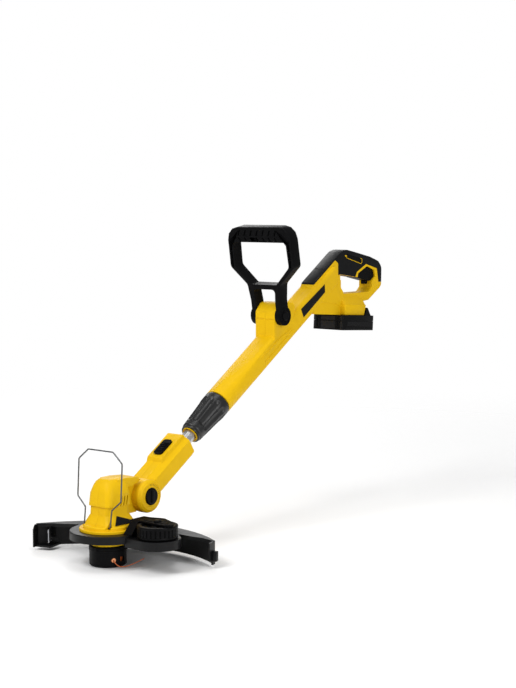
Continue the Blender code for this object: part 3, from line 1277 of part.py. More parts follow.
def grip_body(title, shrink=0.0):
    solid = prism(title, inset(GRIP_OUTLINE, shrink), -GRIP_HALF + shrink, GRIP_HALF - shrink,
                  "Y")
    soften(solid, GRIP_ROUND - shrink, 2)
    return settled(solid)


def boss():
    """The raised block that carries the front handle's bolt."""
    front = HANDLE_X - 0.0193
    return prism("handle_boss", [
        (front, HANDLE_Z - 0.050, 0.0), (HANDLE_X + 0.045, HANDLE_Z - 0.015, 0.0),
        (HANDLE_X + 0.052, HANDLE_Z + 0.0235, 0.010), (HANDLE_X + 0.022, HANDLE_Z + BOSS_TOP, 0.012),
        (HANDLE_X - 0.002, HANDLE_Z + BOSS_TOP, 0.014), (front, HANDLE_Z + 0.0085, 0.006),
    ], -SQUARE_HALF, SQUARE_HALF, "Y")


def battery_base():
    low = BATTERY_H / 2.0 + GAP
    slab = prism("base_slab", [
        (-0.0455, low, 0.0), (0.0310, low, 0.0), (0.0375, low + 0.0240, 0.0),
        (-0.0455, low + 0.0240, 0.0),
    ], -BASE_HALF, BASE_HALF, "Y", None, BATTERY)
    soften(slab, 0.0025)
    rings = []
    for height, back, ahead, half, corner in (
            (low + 0.0225, -0.0448, 0.0365, BASE_HALF - 0.0007, 0.004),
            (low + 0.0310, -0.0440, 0.0380, BASE_HALF - 0.006, 0.006),
            (low + 0.0390, -0.0400, 0.0350, GRIP_HALF + 0.003, 0.006),
            (low + 0.0450, -0.0400, 0.0310, GRIP_HALF - 0.001, 0.006)):
        middle = (back + ahead) / 2.0
        rings.append([(middle + u, v, height)
                      for u, v in ring_points((ahead - back) / 2.0, half, corner)])
    upper = loft("base_upper", rings, None, BATTERY)
    web = prism("base_web", [
        (-0.1480, low + 0.0008, 0.0), (-0.0440, low, 0.0), (-0.0440, low + 0.0300, 0.0),
        (-0.1000, low + 0.0430, 0.0), (-0.1400, low + 0.0120, 0.0),
    ], -WEB_HALF, WEB_HALF, "Y", None, BATTERY)
    return slab, upper, web


def rail_shape(title, clear, start_u, end_u, colour=None, low=None):
    """The sliding T that joins battery and base."""
    base = BATTERY_H / 2.0 if low is None else low
    neck_top = BATTERY_H / 2.0 + RAIL_NECK_H - clear
    head_top = neck_top + RAIL_HEAD_H + 2.0 * clear
    return prism(title, [
        (-RAIL_NECK - clear, base, 0.0), (RAIL_NECK + clear, base, 0.0),
        (RAIL_NECK + clear, neck_top, 0.0), (RAIL_HEAD + clear, neck_top, 0.0),
        (RAIL_HEAD + clear, head_top, 0.0), (-RAIL_HEAD - clear, head_top, 0.0),
        (-RAIL_HEAD - clear, neck_top, 0.0), (-RAIL_NECK - clear, neck_top, 0.0),
    ], start_u, end_u, "X", colour, BATTERY)


def handle_housing():
    body = body_loft("handle_body", COLLAR_END + RUN, 0.738)
    spigot = turned("spigot", [
        (0.0, COLLAR_END + 0.012), (SPIGOT_R, COLLAR_END + 0.012), (SPIGOT_R, SPIGOT_START + 0.003),
        (SPIGOT_R - 0.0018, SPIGOT_START), (0.0, SPIGOT_START),
    ], None, SHAFT, steps=24, axis="X")
    grip = grip_body("grip_outer")
    pillar = prism("front_pillar", [
        (0.648, 0.4560, 0.0), (0.700, 0.4520, 0.0), (0.728, 0.4400, 0.0), (0.736, 0.4400, 0.0),
        (0.730, 0.5180, 0.0), (0.648, 0.4900, 0.0),
    ], -SQUARE_HALF + 0.002, SQUARE_HALF - 0.002)
    soften(pillar, 0.004, 2)
    slab, upper, web = battery_base()
    join(body, spigot, boss(), pillar, slab, upper, web, grip)
    hole = prism("finger_hole", FINGER_HOLE, -0.06, 0.06)
    pocket = prism("trigger_pocket", TRIGGER_POCKET, -0.06, 0.06)
    sweep = prism("trigger_room", TRIGGER_ROOM, -TRIGGER_HALF - RUN, TRIGGER_HALF + RUN)
    slot = prism("lever_slot", LEVER_SLOT, -LEVER_HALF - RUN, LEVER_HALF + RUN)
    skin = prism("overmould_zone", OVERMOULD_ZONE, -0.05, 0.05)
    core = grip_body("overmould_core", OVERMOULD_T + GAP)
    cut(skin, core)
    bore = rod("tube_bore", TUBE_R + 2.0 * GAP, 0.19, TUBE_END + 0.010, "X", (0.0, 0.0), None, SHAFT,
               sides=24)
    front_room = body_loft("front_room", 0.322, 0.496, SHELL_WALL)
    rear_room = body_loft("rear_room", 0.552, 0.680, SHELL_WALL)
    bolt = rod("bolt_bore", BOLT_R + GAP, -0.05, 0.05, "Y", (HANDLE_X, HANDLE_Z), sides=20)
    low, high = SWITCH_BOX
    switch_room = box("switch_room", (low[0] - GAP, low[1] - GAP, low[2] - 0.0035),
                      (high[0] + GAP, high[1] + GAP, high[2] + GAP))
    pivot = rod("trigger_pivot_hole", TRIGGER_PIN_R + GAP, -0.0135, 0.0135, "Y",
                (TRIGGER_PIVOT_X, TRIGGER_PIVOT_Z), sides=16)
    lock_room = prism("lock_off_room", inset(lock_outline(), -GAP), -0.03, -GRIP_HALF + LOCK_DEPTH)
    lock_stem = rod("lock_stem_room", LOCK_STEM_R + GAP, -0.03, -LEVER_HALF + 0.004, "Y",
                    LOCK_STEM_AT, sides=16)
    channel = rail_shape("rail_channel", 2.0 * GAP, -0.0385, 0.09, None, 0.010)
    contacts = box("contact_room", (CONTACT_U - GAP, -CONTACT_HALF - GAP, 0.020),
                   (CONTACT_U + CONTACT_L + GAP, CONTACT_HALF + GAP, 0.0305), None, BATTERY)
    cut(body, hole, pocket, sweep, slot, skin, bore, front_room, rear_room, bolt, switch_room, pivot,
        lock_room, lock_stem, channel, contacts)
    for index, (x, z) in enumerate(HANDLE_SCREWS):
        cut(body, rod("screw_bore", SCREW_R + GAP, -0.0085, 0.05, "Y", (x, z), sides=10))
        cut(body, rod("screw_seat", SCREW_HEAD_R + GAP, SCREW_SEAT, 0.05, "Y", (x, z), sides=14))
    halves(body, ("handle_housing_left", "handle_housing_right"), "yellow")


def handle_fittings():
    skin = grip_body("overmould_body")
    zone = prism("overmould_limit", inset(OVERMOULD_ZONE, GAP), -0.05, 0.05)
    keep(skin, zone)
    core = grip_body("overmould_inner", OVERMOULD_T)
    hole = prism("overmould_hole", FINGER_HOLE, -0.06, 0.06)
    lock = prism("overmould_lock", inset(lock_outline(), -GAP), -0.03, 0.0)
    cut(skin, core, hole, lock)
    settled(sturdy(skin), "grip_overmould", "soft_black")
    for index, (x, z) in enumerate(HANDLE_SCREWS):
        seat = SCREW_SEAT + GAP
        stem = rod("handle_screw_" + str(index + 1), SCREW_R, -0.0075, seat + 0.0005, "Y", (x, z),
                   "steel", sides=10)
        join(stem, rod("screw_cap", SCREW_HEAD_R, seat, seat + SCREW_HEAD_H, "Y", (x, z), sides=14))
    box("switch", SWITCH_BOX[0], SWITCH_BOX[1], "grey")
    box("terminal_block", (CONTACT_U, -CONTACT_HALF, 0.0195), (CONTACT_U + CONTACT_L, CONTACT_HALF, 0.0302),
        "grey", BATTERY)
    rod("trigger_pin", TRIGGER_PIN_R, -0.0132, 0.0132, "Y", (TRIGGER_PIVOT_X, TRIGGER_PIVOT_Z),
        "steel", sides=16)
    trigger()
    lock = prism("lock_off_button", inset(lock_outline(), GAP), -GRIP_HALF - LOCK_OUT,
                 -GRIP_HALF + LOCK_DEPTH - LOCK_TRAVEL - GAP)
    join(lock, rod("lock_stem", LOCK_STEM_R, -GRIP_HALF, -LEVER_HALF - 0.0015, "Y", LOCK_STEM_AT,
                   sides=16))
    settled(lock, "lock_off_button", "black")


def lock_outline():
    """The thumb pad's outline, along the bar's slope."""
    slope = math.radians(-12.5)
    points = []
    for u, v in ((-0.029, -0.0035), (0.029, -0.0055), (0.031, 0.0045), (-0.029, 0.0035)):
        x = LOCK_X + u * math.cos(slope) - v * math.sin(slope)
        z = LOCK_Z + u * math.sin(slope) + v * math.cos(slope)
        points.append((x, z, 0.003))
    return points


def trigger():
    half = LEVER_HALF
    lever = prism("trigger_lever", [
        (0.7475, 0.5130, 0.002), (0.8060, 0.5035, 0.0), (0.8060, 0.5120, 0.0),
        (0.7600, 0.5260, 0.004), (0.7475, 0.5260, 0.004),
    ], -half, half)
    wide = prism("trigger_block", inset(TRIGGER_POCKET, RUN), -TRIGGER_HALF, TRIGGER_HALF)
    cut(wide, prism("trigger_chin", [
        (0.7800, 0.4850, 0.0), (0.8420, 0.4850, 0.0), (0.8420, 0.4965, 0.0), (0.7800, 0.5085, 0.0),
    ], -0.05, 0.05))
    tongue = prism("trigger_tongue", [
        (0.8430, 0.5030, 0.0), (0.8430, 0.4885, 0.003), (0.8510, 0.4885, 0.003),
        (0.8510, 0.5050, 0.0),
    ], -half, half)
    join(lever, wide, tongue)
    cut(lever, rod("trigger_bore", TRIGGER_PIN_R + GAP, -0.02, 0.02, "Y",
                   (TRIGGER_PIVOT_X, TRIGGER_PIVOT_Z), sides=16))
    settled(lever, "trigger", "black")
    turned("trigger_spring", [
        (0.0015, 0.5357), (0.0030, 0.5357), (0.0030, 0.5268), (0.0015, 0.5268),
    ], "steel", None, steps=14, at=(0.768, 0.0, 0.0))


# Front handle

def aux_handle():
    inner = HANDLE_INNER
    outer = HANDLE_OUTER
    wide = HANDLE_WIDE
    top = HANDLE_TOP
    inside_top = top - HANDLE_BAR
    right = [(outer, -0.006), (outer, 0.034), (outer + 0.005, 0.068), (wide, 0.105),
             (wide - 0.001, top)]
    loop = prism("handle_loop", mirrored_outline(right, (0.010, 0.0, 0.012, 0.010, 0.028)),
                 -HANDLE_DEPTH / 2.0, HANDLE_DEPTH / 2.0, "X", None, HANDLE)
    soften(loop, 0.005, 2, 50.0)
    fork = prism("handle_fork", [
        (-inner, -0.05, 0.0), (inner, -0.05, 0.0), (inner, 0.030, 0.0), (inner + 0.003, 0.0585, 0.008),
        (-inner - 0.003, 0.0585, 0.008), (-inner, 0.030, 0.0),
    ], -0.05, 0.05, "X", None, HANDLE)
    opening = [(0.0335, 0.0685), (wide - 0.012, 0.106), (wide - 0.0140, inside_top)]
    window = prism("handle_window", mirrored_outline(opening, (0.006, 0.010, 0.006)),
                   -0.05, 0.05, "X", None, HANDLE)
    cut(loop, fork, window)
    for side in (-1.0, 1.0):
        near = min(side * inner, side * outer)
        far = max(side * inner, side * outer)
        disc = rod("handle_disc", HANDLE_DISC_R, near, far, "Y", (0.0, 0.0), None, HANDLE, sides=28)
        join(loop, disc)
    bolt = rod("handle_bolt_hole", BOLT_R + GAP, -0.06, 0.06, "Y", (0.0, 0.0), None, HANDLE,
               sides=20)
    recess = rod("handle_button_well", HANDLE_BUTTON_R + GAP, -0.06, -outer + HANDLE_WELL, "Y",
                 (0.0, 0.0), None, HANDLE, sides=24)
    cut(loop, bolt, recess)
    face = -HANDLE_DEPTH / 2.0
    for index in range(CHEVRONS):
        tip = CHEVRON_FIRST - CHEVRON_PITCH * index
        for low, high in ((top - 0.0184, top - 0.0066), (top - 0.0220, top - 0.0300)):
            groove = prism("chevron", ordered([
                (tip, low), (tip - CHEVRON_W, low),
                (tip - CHEVRON_W - 0.0048, high), (tip - 0.0048, high),
            ]), face - 0.01, face + CHEVRON_DEEP, "X", None, HANDLE)
            cut(loop, groove)
    for side in (-1.0, 1.0):
        corner = prism("corner_pocket", ordered([
            (side * 0.0600, top - 0.0180), (side * 0.0600, top - 0.0245),
            (side * 0.0740, top - 0.0335), (side * 0.0770, top - 0.0275),
        ]), face - 0.01, face + POCKET_DEEP, "X", None, HANDLE)
        cut(loop, corner)
        for step in range(SIDE_POCKETS):
            pocket_top = inside_top - 0.0025 - SIDE_POCKET_H * step
            pocket = prism("side_pocket", ordered([
                (side * (wide - 0.0098), pocket_top), (side * (wide - 0.0048), pocket_top),
                (side * (wide - 0.0048), pocket_top - SIDE_POCKET_H + 0.0016),
                (side * (wide - 0.0098), pocket_top - SIDE_POCKET_H + 0.0016),
            ]), face - 0.01, face + POCKET_DEEP, "X", None, HANDLE)
            cut(loop, pocket)
    round_shading(settled(sturdy(loop), "aux_handle", "black"), 40.0)
    turned("handle_bolt", [
        (0.0, outer + 0.0045), (0.0065, outer + 0.0045), (0.0075, outer + 0.003),
        (0.0075, outer + GAP), (BOLT_R, outer + GAP), (BOLT_R, -outer + HANDLE_WELL + 0.0005),
        (0.0, -outer + HANDLE_WELL + 0.0005),
    ], "grey", HANDLE, steps=20, axis="Y")
    turned("handle_button", [
        (0.0, -outer + HANDLE_WELL - HANDLE_TRAVEL - 0.0005),
        (HANDLE_BUTTON_R, -outer + HANDLE_WELL - HANDLE_TRAVEL - 0.0005),
        (HANDLE_BUTTON_R, -outer - 0.0015), (HANDLE_BUTTON_R - 0.0015, -outer - 0.003),
        (0.0, -outer - 0.003),
    ], "gloss_black", HANDLE, steps=24, axis="Y")


def mirrored_outline(right, radii):
    """A closed outline from its right side, bottom to top."""
    first = [(u, v, radius) for (u, v), radius in zip(right, radii)]
    return first + [(-u, v, radius) for u, v, radius in reversed(first)]


def ordered(points):
    """Corners turned anticlockwise, as the outline tools expect."""
    area = 0.0
    for index, (u, v) in enumerate(points):
        other = points[(index + 1) % len(points)]
        area += u * other[1] - other[0] * v
    if area < 0.0:
        points = list(reversed(points))
    return [(u, v, 0.0) for u, v in points]


# Battery

def battery():
    long = BATTERY_L / 2.0
    high = BATTERY_H / 2.0
    wide = BATTERY_W / 2.0
    body = prism("battery_body", [
        (-long, -wide, 0.003), (long, -wide, 0.004), (long, wide, 0.004), (-long, wide, 0.003),
    ], -high, high, "Z", None, BATTERY)
    soften(body, 0.0018, 1, 60.0)
    wedge = prism("battery_wedge", [
        (0.0335, high - 0.002, 0.0), (long - 0.003, high - 0.002, 0.0),
        (0.0440, high + 0.0165, 0.002), (0.0396, high + 0.0178, 0.001),
    ], -BASE_HALF, BASE_HALF, "Y", None, BATTERY)
    rail = rail_shape("battery_rail", 0.0, -0.0380, 0.0345, None, high - 0.002)
    join(body, wedge, rail)
    for side in (-1.0, 1.0):
        rib = box("battery_rib", (-long - 0.0015, side * 0.030 - 0.0018, -high + 0.004),
                  (-long + 0.001, side * 0.030 + 0.0018, high - 0.004), None, BATTERY)
        join(body, rib)
    wall = BATTERY_WALL
    room = box("battery_room", (-long + wall, -wide + wall, -high + wall),
               (long - 0.012, wide - wall, high - wall), None, BATTERY)
    soften(room, 0.005, 2)
    contact_slot = box("battery_contact_slot", (-0.045, -CONTACT_HALF - 0.001, high + 0.0022),
                       (CONTACT_U + CONTACT_L + 0.002, CONTACT_HALF + 0.001, high + 0.02), None,
                       BATTERY)
    latch_room = box("latch_room", (0.0330, -LATCH_HALF - GAP, high - 0.0065),
                     (long + 0.01, LATCH_HALF + GAP, high + 0.03), None, BATTERY)
    cut(body, room, contact_slot, latch_room)
    whole = settled(sturdy(body), "battery_whole")
    split = BATTERY_SPLIT
    lower = copied(whole, "battery_case", "black")
    keep(lower, box("case_limit", (-0.2, -0.2, -0.2), (0.2, 0.2, split - GAP / 2.0), None, BATTERY))
    upper = copied(whole, "battery_cover", "black")
    keep(upper, box("cover_limit", (-0.2, -0.2, split + GAP / 2.0), (0.2, 0.2, 0.2), None, BATTERY))
    pack = box("cell_pack", (-long + wall + 0.001, -wide + wall + 0.001, -high + wall + GAP),
               (0.0325, wide - wall - 0.001, high - wall - GAP), "grey", BATTERY)
    soften(pack, 0.006, 2)
    floor = high - 0.0065 + LATCH_TRAVEL
    latch = prism("battery_latch", [
        (0.0350, floor + 0.0005, 0.0), (long - 0.0005, floor + 0.0005, 0.0),
        (long - 0.0005, high - 0.0010, 0.002), (0.0465, high + 0.0150, 0.002),
        (0.0405, high + 0.0165, 0.001), (0.0350, high + 0.0020, 0.0),
    ], -LATCH_HALF, LATCH_HALF, "Y", None, BATTERY)
    settled(latch, "battery_latch", "black")


def model():
    line_head()
    line_end()
    motor_housing()
    motor_parts()
    guard()
    guard_fittings()
    edge_wheel()
    flower_guard()
    head_label()
    neck()
    telescope()
    handle_housing()
    handle_fittings()
    aux_handle()
    battery()
    bpy.context.view_layer.update()
    for item in list(GROUPS["string_trimmer"].objects):
        if any(step.type == "BOOLEAN" for step in item.modifiers) or item.name in CUT_PIECES:
            cleaned(item)


model()
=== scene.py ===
"""Looks of the cordless string trimmer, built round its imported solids."""
import json
import math

import bmesh
import bpy
from mathutils import Matrix, Vector


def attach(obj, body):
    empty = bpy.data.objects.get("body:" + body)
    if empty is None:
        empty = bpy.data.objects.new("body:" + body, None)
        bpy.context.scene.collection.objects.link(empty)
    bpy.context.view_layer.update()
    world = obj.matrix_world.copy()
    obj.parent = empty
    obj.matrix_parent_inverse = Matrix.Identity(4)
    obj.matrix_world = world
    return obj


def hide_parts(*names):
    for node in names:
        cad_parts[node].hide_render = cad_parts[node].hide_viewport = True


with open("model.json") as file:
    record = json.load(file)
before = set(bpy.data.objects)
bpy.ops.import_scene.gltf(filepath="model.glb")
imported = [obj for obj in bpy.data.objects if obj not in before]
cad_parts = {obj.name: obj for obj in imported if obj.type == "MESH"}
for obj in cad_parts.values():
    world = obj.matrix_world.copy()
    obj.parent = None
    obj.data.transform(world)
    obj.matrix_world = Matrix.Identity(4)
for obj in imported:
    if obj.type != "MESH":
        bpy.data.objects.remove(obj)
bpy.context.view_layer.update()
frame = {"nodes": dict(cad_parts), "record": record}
NODES = frame["nodes"]
BODIES = frame["record"]["behaviour"]["bodies"]
BODY_OF = {node: body for body, nodes in BODIES.items() for node in nodes}

# Axes of the whole tool, of its shaft, and of a face seen from the near side
PITCH = math.radians(32.5)
PIVOT = Vector((0.085, 0.0, 0.119))
UPRIGHT = Matrix.Identity(4)
SHAFT = Matrix.Translation(PIVOT) @ Matrix.Rotation(-PITCH, 4, "Y")
NEAR = Matrix(((1.0, 0.0, 0.0, 0.0), (0.0, 0.0, -1.0, 0.0),
               (0.0, 1.0, 0.0, 0.0), (0.0, 0.0, 0.0, 1.0)))
SHAFT_NEAR = SHAFT @ NEAR
SIDES = (("near", -1.0), ("far", 1.0))


# Camera, floor and light

IMAGE_HEIGHT = 688.0
FOCAL_PIXELS = 1550.0
FILM_HEIGHT = 36.0
CAMERA_AT = (-2.0727, -1.9755, 0.6777)
CAMERA_AHEAD = (0.7846, 0.6130, -0.0924)

WORLD_LIGHT = 0.46
GLOSS_LIGHT = 0.30
WHITE = (1.0, 1.0, 1.0, 1.0)

FLOOR_WHITE = 0.97
FLOOR_RADIUS = 6.0
FLOOR_SIDES = 96
FLOOR_AT = (0.3, 0.0, -0.0008)
FADE_START = 0.7
FADE_END = 2.6

# Title, place, aim, size and power
LAMPS = (
    ("key", (-2.0, 0.3, 2.5), (0.3, 0.0, 0.25), 1.5, 53.0),
    ("fill", (-0.6, -3.2, 1.2), (0.4, 0.0, 0.3), 1.6, 42.0),
    ("back", (2.2, 2.0, 1.8), (0.4, 0.0, 0.3), 1.6, 26.0),
    ("top", (0.3, -0.4, 3.2), (0.3, 0.0, 0.2), 1.2, 14.0),
)


def make_camera():
    data = bpy.data.cameras.new("camera")
    data.sensor_fit = "VERTICAL"
    data.sensor_height = FILM_HEIGHT
    data.lens = FILM_HEIGHT * FOCAL_PIXELS / IMAGE_HEIGHT
    data.clip_end = 200.0
    camera = bpy.data.objects.new("camera", data)
    bpy.context.scene.collection.objects.link(camera)
    camera.location = CAMERA_AT
    camera.rotation_euler = Vector(CAMERA_AHEAD).to_track_quat("-Z", "Y").to_euler()
    bpy.context.scene.camera = camera


def area_light(title, place, aim, size, power):
    data = bpy.data.lights.new(title, "AREA")
    data.shape = "DISK"
    data.size = size
    data.energy = power
    lamp = bpy.data.objects.new(title, data)
    bpy.context.scene.collection.objects.link(lamp)
    lamp.location = place
    lamp.rotation_euler = (Vector(aim) - Vector(place)).to_track_quat("-Z", "Y").to_euler()


def background(tree, strength):
    node = tree.nodes.new("ShaderNodeBackground")
    node.inputs["Color"].default_value = WHITE
    node.inputs["Strength"].default_value = strength
    return node


def make_world():
    """White to the eye, dimmer as light and in reflections."""
    world = bpy.data.worlds.new("studio")
    bpy.context.scene.world = world
    world.use_nodes = True
    tree = world.node_tree
    tree.nodes.clear()
    out = tree.nodes.new("ShaderNodeOutputWorld")
    seen = background(tree, 1.0)
    light = background(tree, WORLD_LIGHT)
    gloss = background(tree, GLOSS_LIGHT)
    path = tree.nodes.new("ShaderNodeLightPath")
    shine = tree.nodes.new("ShaderNodeMixShader")
    mix = tree.nodes.new("ShaderNodeMixShader")
    tree.links.new(path.outputs["Is Glossy Ray"], shine.inputs[0])
    tree.links.new(light.outputs[0], shine.inputs[1])
    tree.links.new(gloss.outputs[0], shine.inputs[2])
    tree.links.new(path.outputs["Is Camera Ray"], mix.inputs[0])
    tree.links.new(shine.outputs[0], mix.inputs[1])
    tree.links.new(seen.outputs[0], mix.inputs[2])
    tree.links.new(mix.outputs[0], out.inputs[0])


def make_floor():
    """A white disc that fades out, so that no horizon shows."""
    shape = bmesh.new()
    bmesh.ops.create_circle(shape, cap_ends=True, segments=FLOOR_SIDES, radius=FLOOR_RADIUS)
    mesh = bpy.data.meshes.new("studio_floor")
    shape.to_mesh(mesh)
    shape.free()
    floor = bpy.data.objects.new("studio_floor", mesh)
    bpy.context.scene.collection.objects.link(floor)
    floor.location = FLOOR_AT
    made = bpy.data.materials.new("studio_floor")
    made.use_nodes = True
    tree = made.node_tree
    tree.nodes.clear()
    out = tree.nodes.new("ShaderNodeOutputMaterial")
    paint = tree.nodes.new("ShaderNodeBsdfDiffuse")
    paint.inputs["Color"].default_value = (FLOOR_WHITE, FLOOR_WHITE, FLOOR_WHITE, 1.0)
    clear = tree.nodes.new("ShaderNodeBsdfTransparent")
    where = tree.nodes.new("ShaderNodeTexCoord")
    far = tree.nodes.new("ShaderNodeVectorMath")
    far.operation = "LENGTH"
    fade = tree.nodes.new("ShaderNodeMapRange")
    fade.interpolation_type = "SMOOTHSTEP"
    fade.inputs["From Min"].default_value = FADE_START
    fade.inputs["From Max"].default_value = FADE_END
    mix = tree.nodes.new("ShaderNodeMixShader")
    tree.links.new(where.outputs["Object"], far.inputs[0])
    tree.links.new(far.outputs["Value"], fade.inputs["Value"])
    tree.links.new(fade.outputs[0], mix.inputs[0])
    tree.links.new(paint.outputs[0], mix.inputs[1])
    tree.links.new(clear.outputs[0], mix.inputs[2])
    tree.links.new(mix.outputs[0], out.inputs[0])
    mesh.materials.append(made)


make_camera()
make_world()
make_floor()
for lamp_row in LAMPS:
    area_light(*lamp_row)
bpy.context.scene.view_settings.view_transform = "Standard"


# Materials

PATCH_SCALE = 34.0
PATCH_DETAIL = 4.0
SMEAR_SCALE = 90.0
SMEAR_DETAIL = 5.0
SMEAR_ROUGHNESS = 0.6
GRAIN_DETAIL = 2.0
GRAIN_DEPTH = 0.25
COAT_ROUGHNESS = 0.12
LEAST_ROUGHNESS = 0.02
NOISE_LOW = 0.3
NOISE_HIGH = 0.7


def noise(tree, scale, detail):
    node = tree.nodes.new("ShaderNodeTexNoise")
    node.inputs["Scale"].default_value = scale
    node.inputs["Detail"].default_value = detail
    return node


def spread(tree, source, low, high):
    """A noise whose middle range runs from low to high."""
    node = tree.nodes.new("ShaderNodeMapRange")
    node.inputs["From Min"].default_value = NOISE_LOW
    node.inputs["From Max"].default_value = NOISE_HIGH
    node.inputs["To Min"].default_value = low
    node.inputs["To Max"].default_value = high
    tree.links.new(source.outputs["Fac"], node.inputs["Value"])
    return node


def surface(title, colour, rough, grain=0.0, grain_size=0.0004, mottle=0.04, metal=0.0, coat=0.0,
            rough_spread=0.05, level=0.5, brushed=None):
    """A moulded or metal finish with fine grain, faint mottling and uneven gloss."""
    made = bpy.data.materials.new(title)
    made.use_nodes = True
    tree = made.node_tree
    shader = tree.nodes["Principled BSDF"]
    shader.inputs["Metallic"].default_value = metal
    shader.inputs["Coat Weight"].default_value = coat
    shader.inputs["Coat Roughness"].default_value = COAT_ROUGHNESS
    shader.inputs["Specular IOR Level"].default_value = level
    where = tree.nodes.new("ShaderNodeTexCoord")
    patches = noise(tree, PATCH_SCALE, PATCH_DETAIL)
    tree.links.new(where.outputs["Object"], patches.inputs["Vector"])
    tone = spread(tree, patches, 1.0 - mottle, 1.0 + mottle)
    tint = tree.nodes.new("ShaderNodeVectorMath")
    tint.operation = "SCALE"
    tint.inputs[0].default_value = colour
    tree.links.new(tone.outputs[0], tint.inputs["Scale"])
    tree.links.new(tint.outputs[0], shader.inputs["Base Color"])
    smear = noise(tree, SMEAR_SCALE, SMEAR_DETAIL)
    smear.inputs["Roughness"].default_value = SMEAR_ROUGHNESS
    gloss = spread(tree, smear, max(LEAST_ROUGHNESS, rough - rough_spread), rough + rough_spread)
    tree.links.new(gloss.outputs[0], shader.inputs["Roughness"])
    source = where.outputs["Object"]
    if brushed:
        turn = tree.nodes.new("ShaderNodeMapping")
        turn.inputs["Rotation"].default_value = brushed[0]
        turn.inputs["Scale"].default_value = brushed[1]
        tree.links.new(source, turn.inputs["Vector"])
        source = turn.outputs["Vector"]
    tree.links.new(source, smear.inputs["Vector"])
    if grain:
        specks = noise(tree, 1.0 / grain_size, GRAIN_DETAIL)
        bump = tree.nodes.new("ShaderNodeBump")
        bump.inputs["Strength"].default_value = grain
        bump.inputs["Distance"].default_value = grain_size * GRAIN_DEPTH
        tree.links.new(source, specks.inputs["Vector"])
        tree.links.new(specks.outputs["Fac"], bump.inputs["Height"])
        tree.links.new(bump.outputs["Normal"], shader.inputs["Normal"])
    return made


YELLOW = surface("yellow_moulding", (0.76, 0.462, 0.004), 0.46,
                 mottle=0.015, rough_spread=0.01, level=0.10)
BLACK = surface("black_moulding", (0.0034, 0.0034, 0.0038), 0.40,
                grain=0.2, mottle=0.12, level=0.07)
GUARD_BLACK = surface("guard_moulding", (0.0030, 0.0030, 0.0034), 0.38,
                      grain=0.04, mottle=0.1, level=0.20)
COVER_BLACK = surface("cover_moulding", (0.0035, 0.0035, 0.0039), 0.60,
                      grain=0.1, mottle=0.1, level=0.05)
GLOSS_BLACK = surface("gloss_moulding", (0.0050, 0.0050, 0.0055), 0.38,
                      mottle=0.02, rough_spread=0.005, level=0.60)
RUBBER = surface("soft_overmould", (0.0036, 0.0038, 0.0044), 0.48,
                 grain=0.4, grain_size=0.0007, mottle=0.1, level=0.17)
HANDLE_BLACK = surface("handle_moulding", (0.0040, 0.0040, 0.0045), 0.48,
                       grain=0.2, mottle=0.1, level=0.05)
BATTERY_BLACK = surface("battery_moulding", (0.0032, 0.0032, 0.0036), 0.30,
                        grain=0.05, mottle=0.1, level=0.14)
BATTERY_PANEL = surface("battery_panel", (0.0120, 0.0120, 0.0132), 0.42,
                        grain=0.15, mottle=0.08, level=0.26)
LABEL = surface("label_film", (0.0040, 0.0040, 0.0045), 0.24,
                grain=0.03, mottle=0.05, level=0.22)
GREY = surface("grey_moulding", (0.045, 0.045, 0.048), 0.5, grain=0.2, level=0.3)
TUBE = surface("drawn_tube", (0.56, 0.565, 0.58), 0.40, metal=1.0, mottle=0.03, rough_spread=0.08,
               brushed=((0.0, PITCH, 0.0), (0.05, 1.0, 1.0)), grain=0.12)
STEEL = surface("plated_steel", (0.45, 0.46, 0.48), 0.27, metal=1.0, mottle=0.05, grain=0.1)
WIRE = surface("zinc_wire", (0.14, 0.143, 0.148), 0.34, metal=1.0, mottle=0.06, grain=0.2)
COPPER = surface("copper_eyelet", (0.80, 0.34, 0.16), 0.26, metal=1.0, mottle=0.08)
LINE = surface("nylon_line", (0.72, 0.16, 0.035), 0.34, grain=0.1, mottle=0.05, coat=0.1)
CABLE = surface("cable_sheath", (0.01, 0.01, 0.01), 0.5, grain=0.2)


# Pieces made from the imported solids, with the moulded edges rounded

JOIN_WITHIN = 0.000012
FLAT_WITHIN = math.radians(0.6)
MOULDED_ANGLE = 34.0
LATHED_ANGLE = 38.0
PANEL_ANGLE = 32.0


def link(mesh, title, finish):
    item = bpy.data.objects.new(title, mesh)
    bpy.context.scene.collection.objects.link(item)
    mesh.materials.clear()
    mesh.materials.append(finish)
    return item


def smooth(item, angle):
    item.data.shade_smooth()
    item.data.set_sharp_from_angle(angle=math.radians(angle))


def dressed(node, finish, round_off):
    """The node's form again, with its flat faces joined and its edges rounded."""
    source = NODES[node].data
    shape = bmesh.new()
    shape.from_mesh(source)
    bmesh.ops.remove_doubles(shape, verts=shape.verts, dist=JOIN_WITHIN)
    bmesh.ops.dissolve_limit(shape, angle_limit=FLAT_WITHIN, verts=shape.verts,
                             edges=shape.edges, use_dissolve_boundaries=False)
    mesh = bpy.data.meshes.new(node + "_form")
    shape.to_mesh(mesh)
    shape.free()
    item = link(mesh, node + "_form", finish)
    bevel = item.modifiers.new("round_off", "BEVEL")
    bevel.width = round_off
    bevel.segments = 2
    bevel.limit_method = "ANGLE"
    bevel.angle_limit = math.radians(MOULDED_ANGLE)
    bevel.use_clamp_overlap = True
    bevel.harden_normals = True
    bevel.miter_outer = "MITER_ARC"
    smooth(item, MOULDED_ANGLE)
    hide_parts(node)
    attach(item, BODY_OF[node])


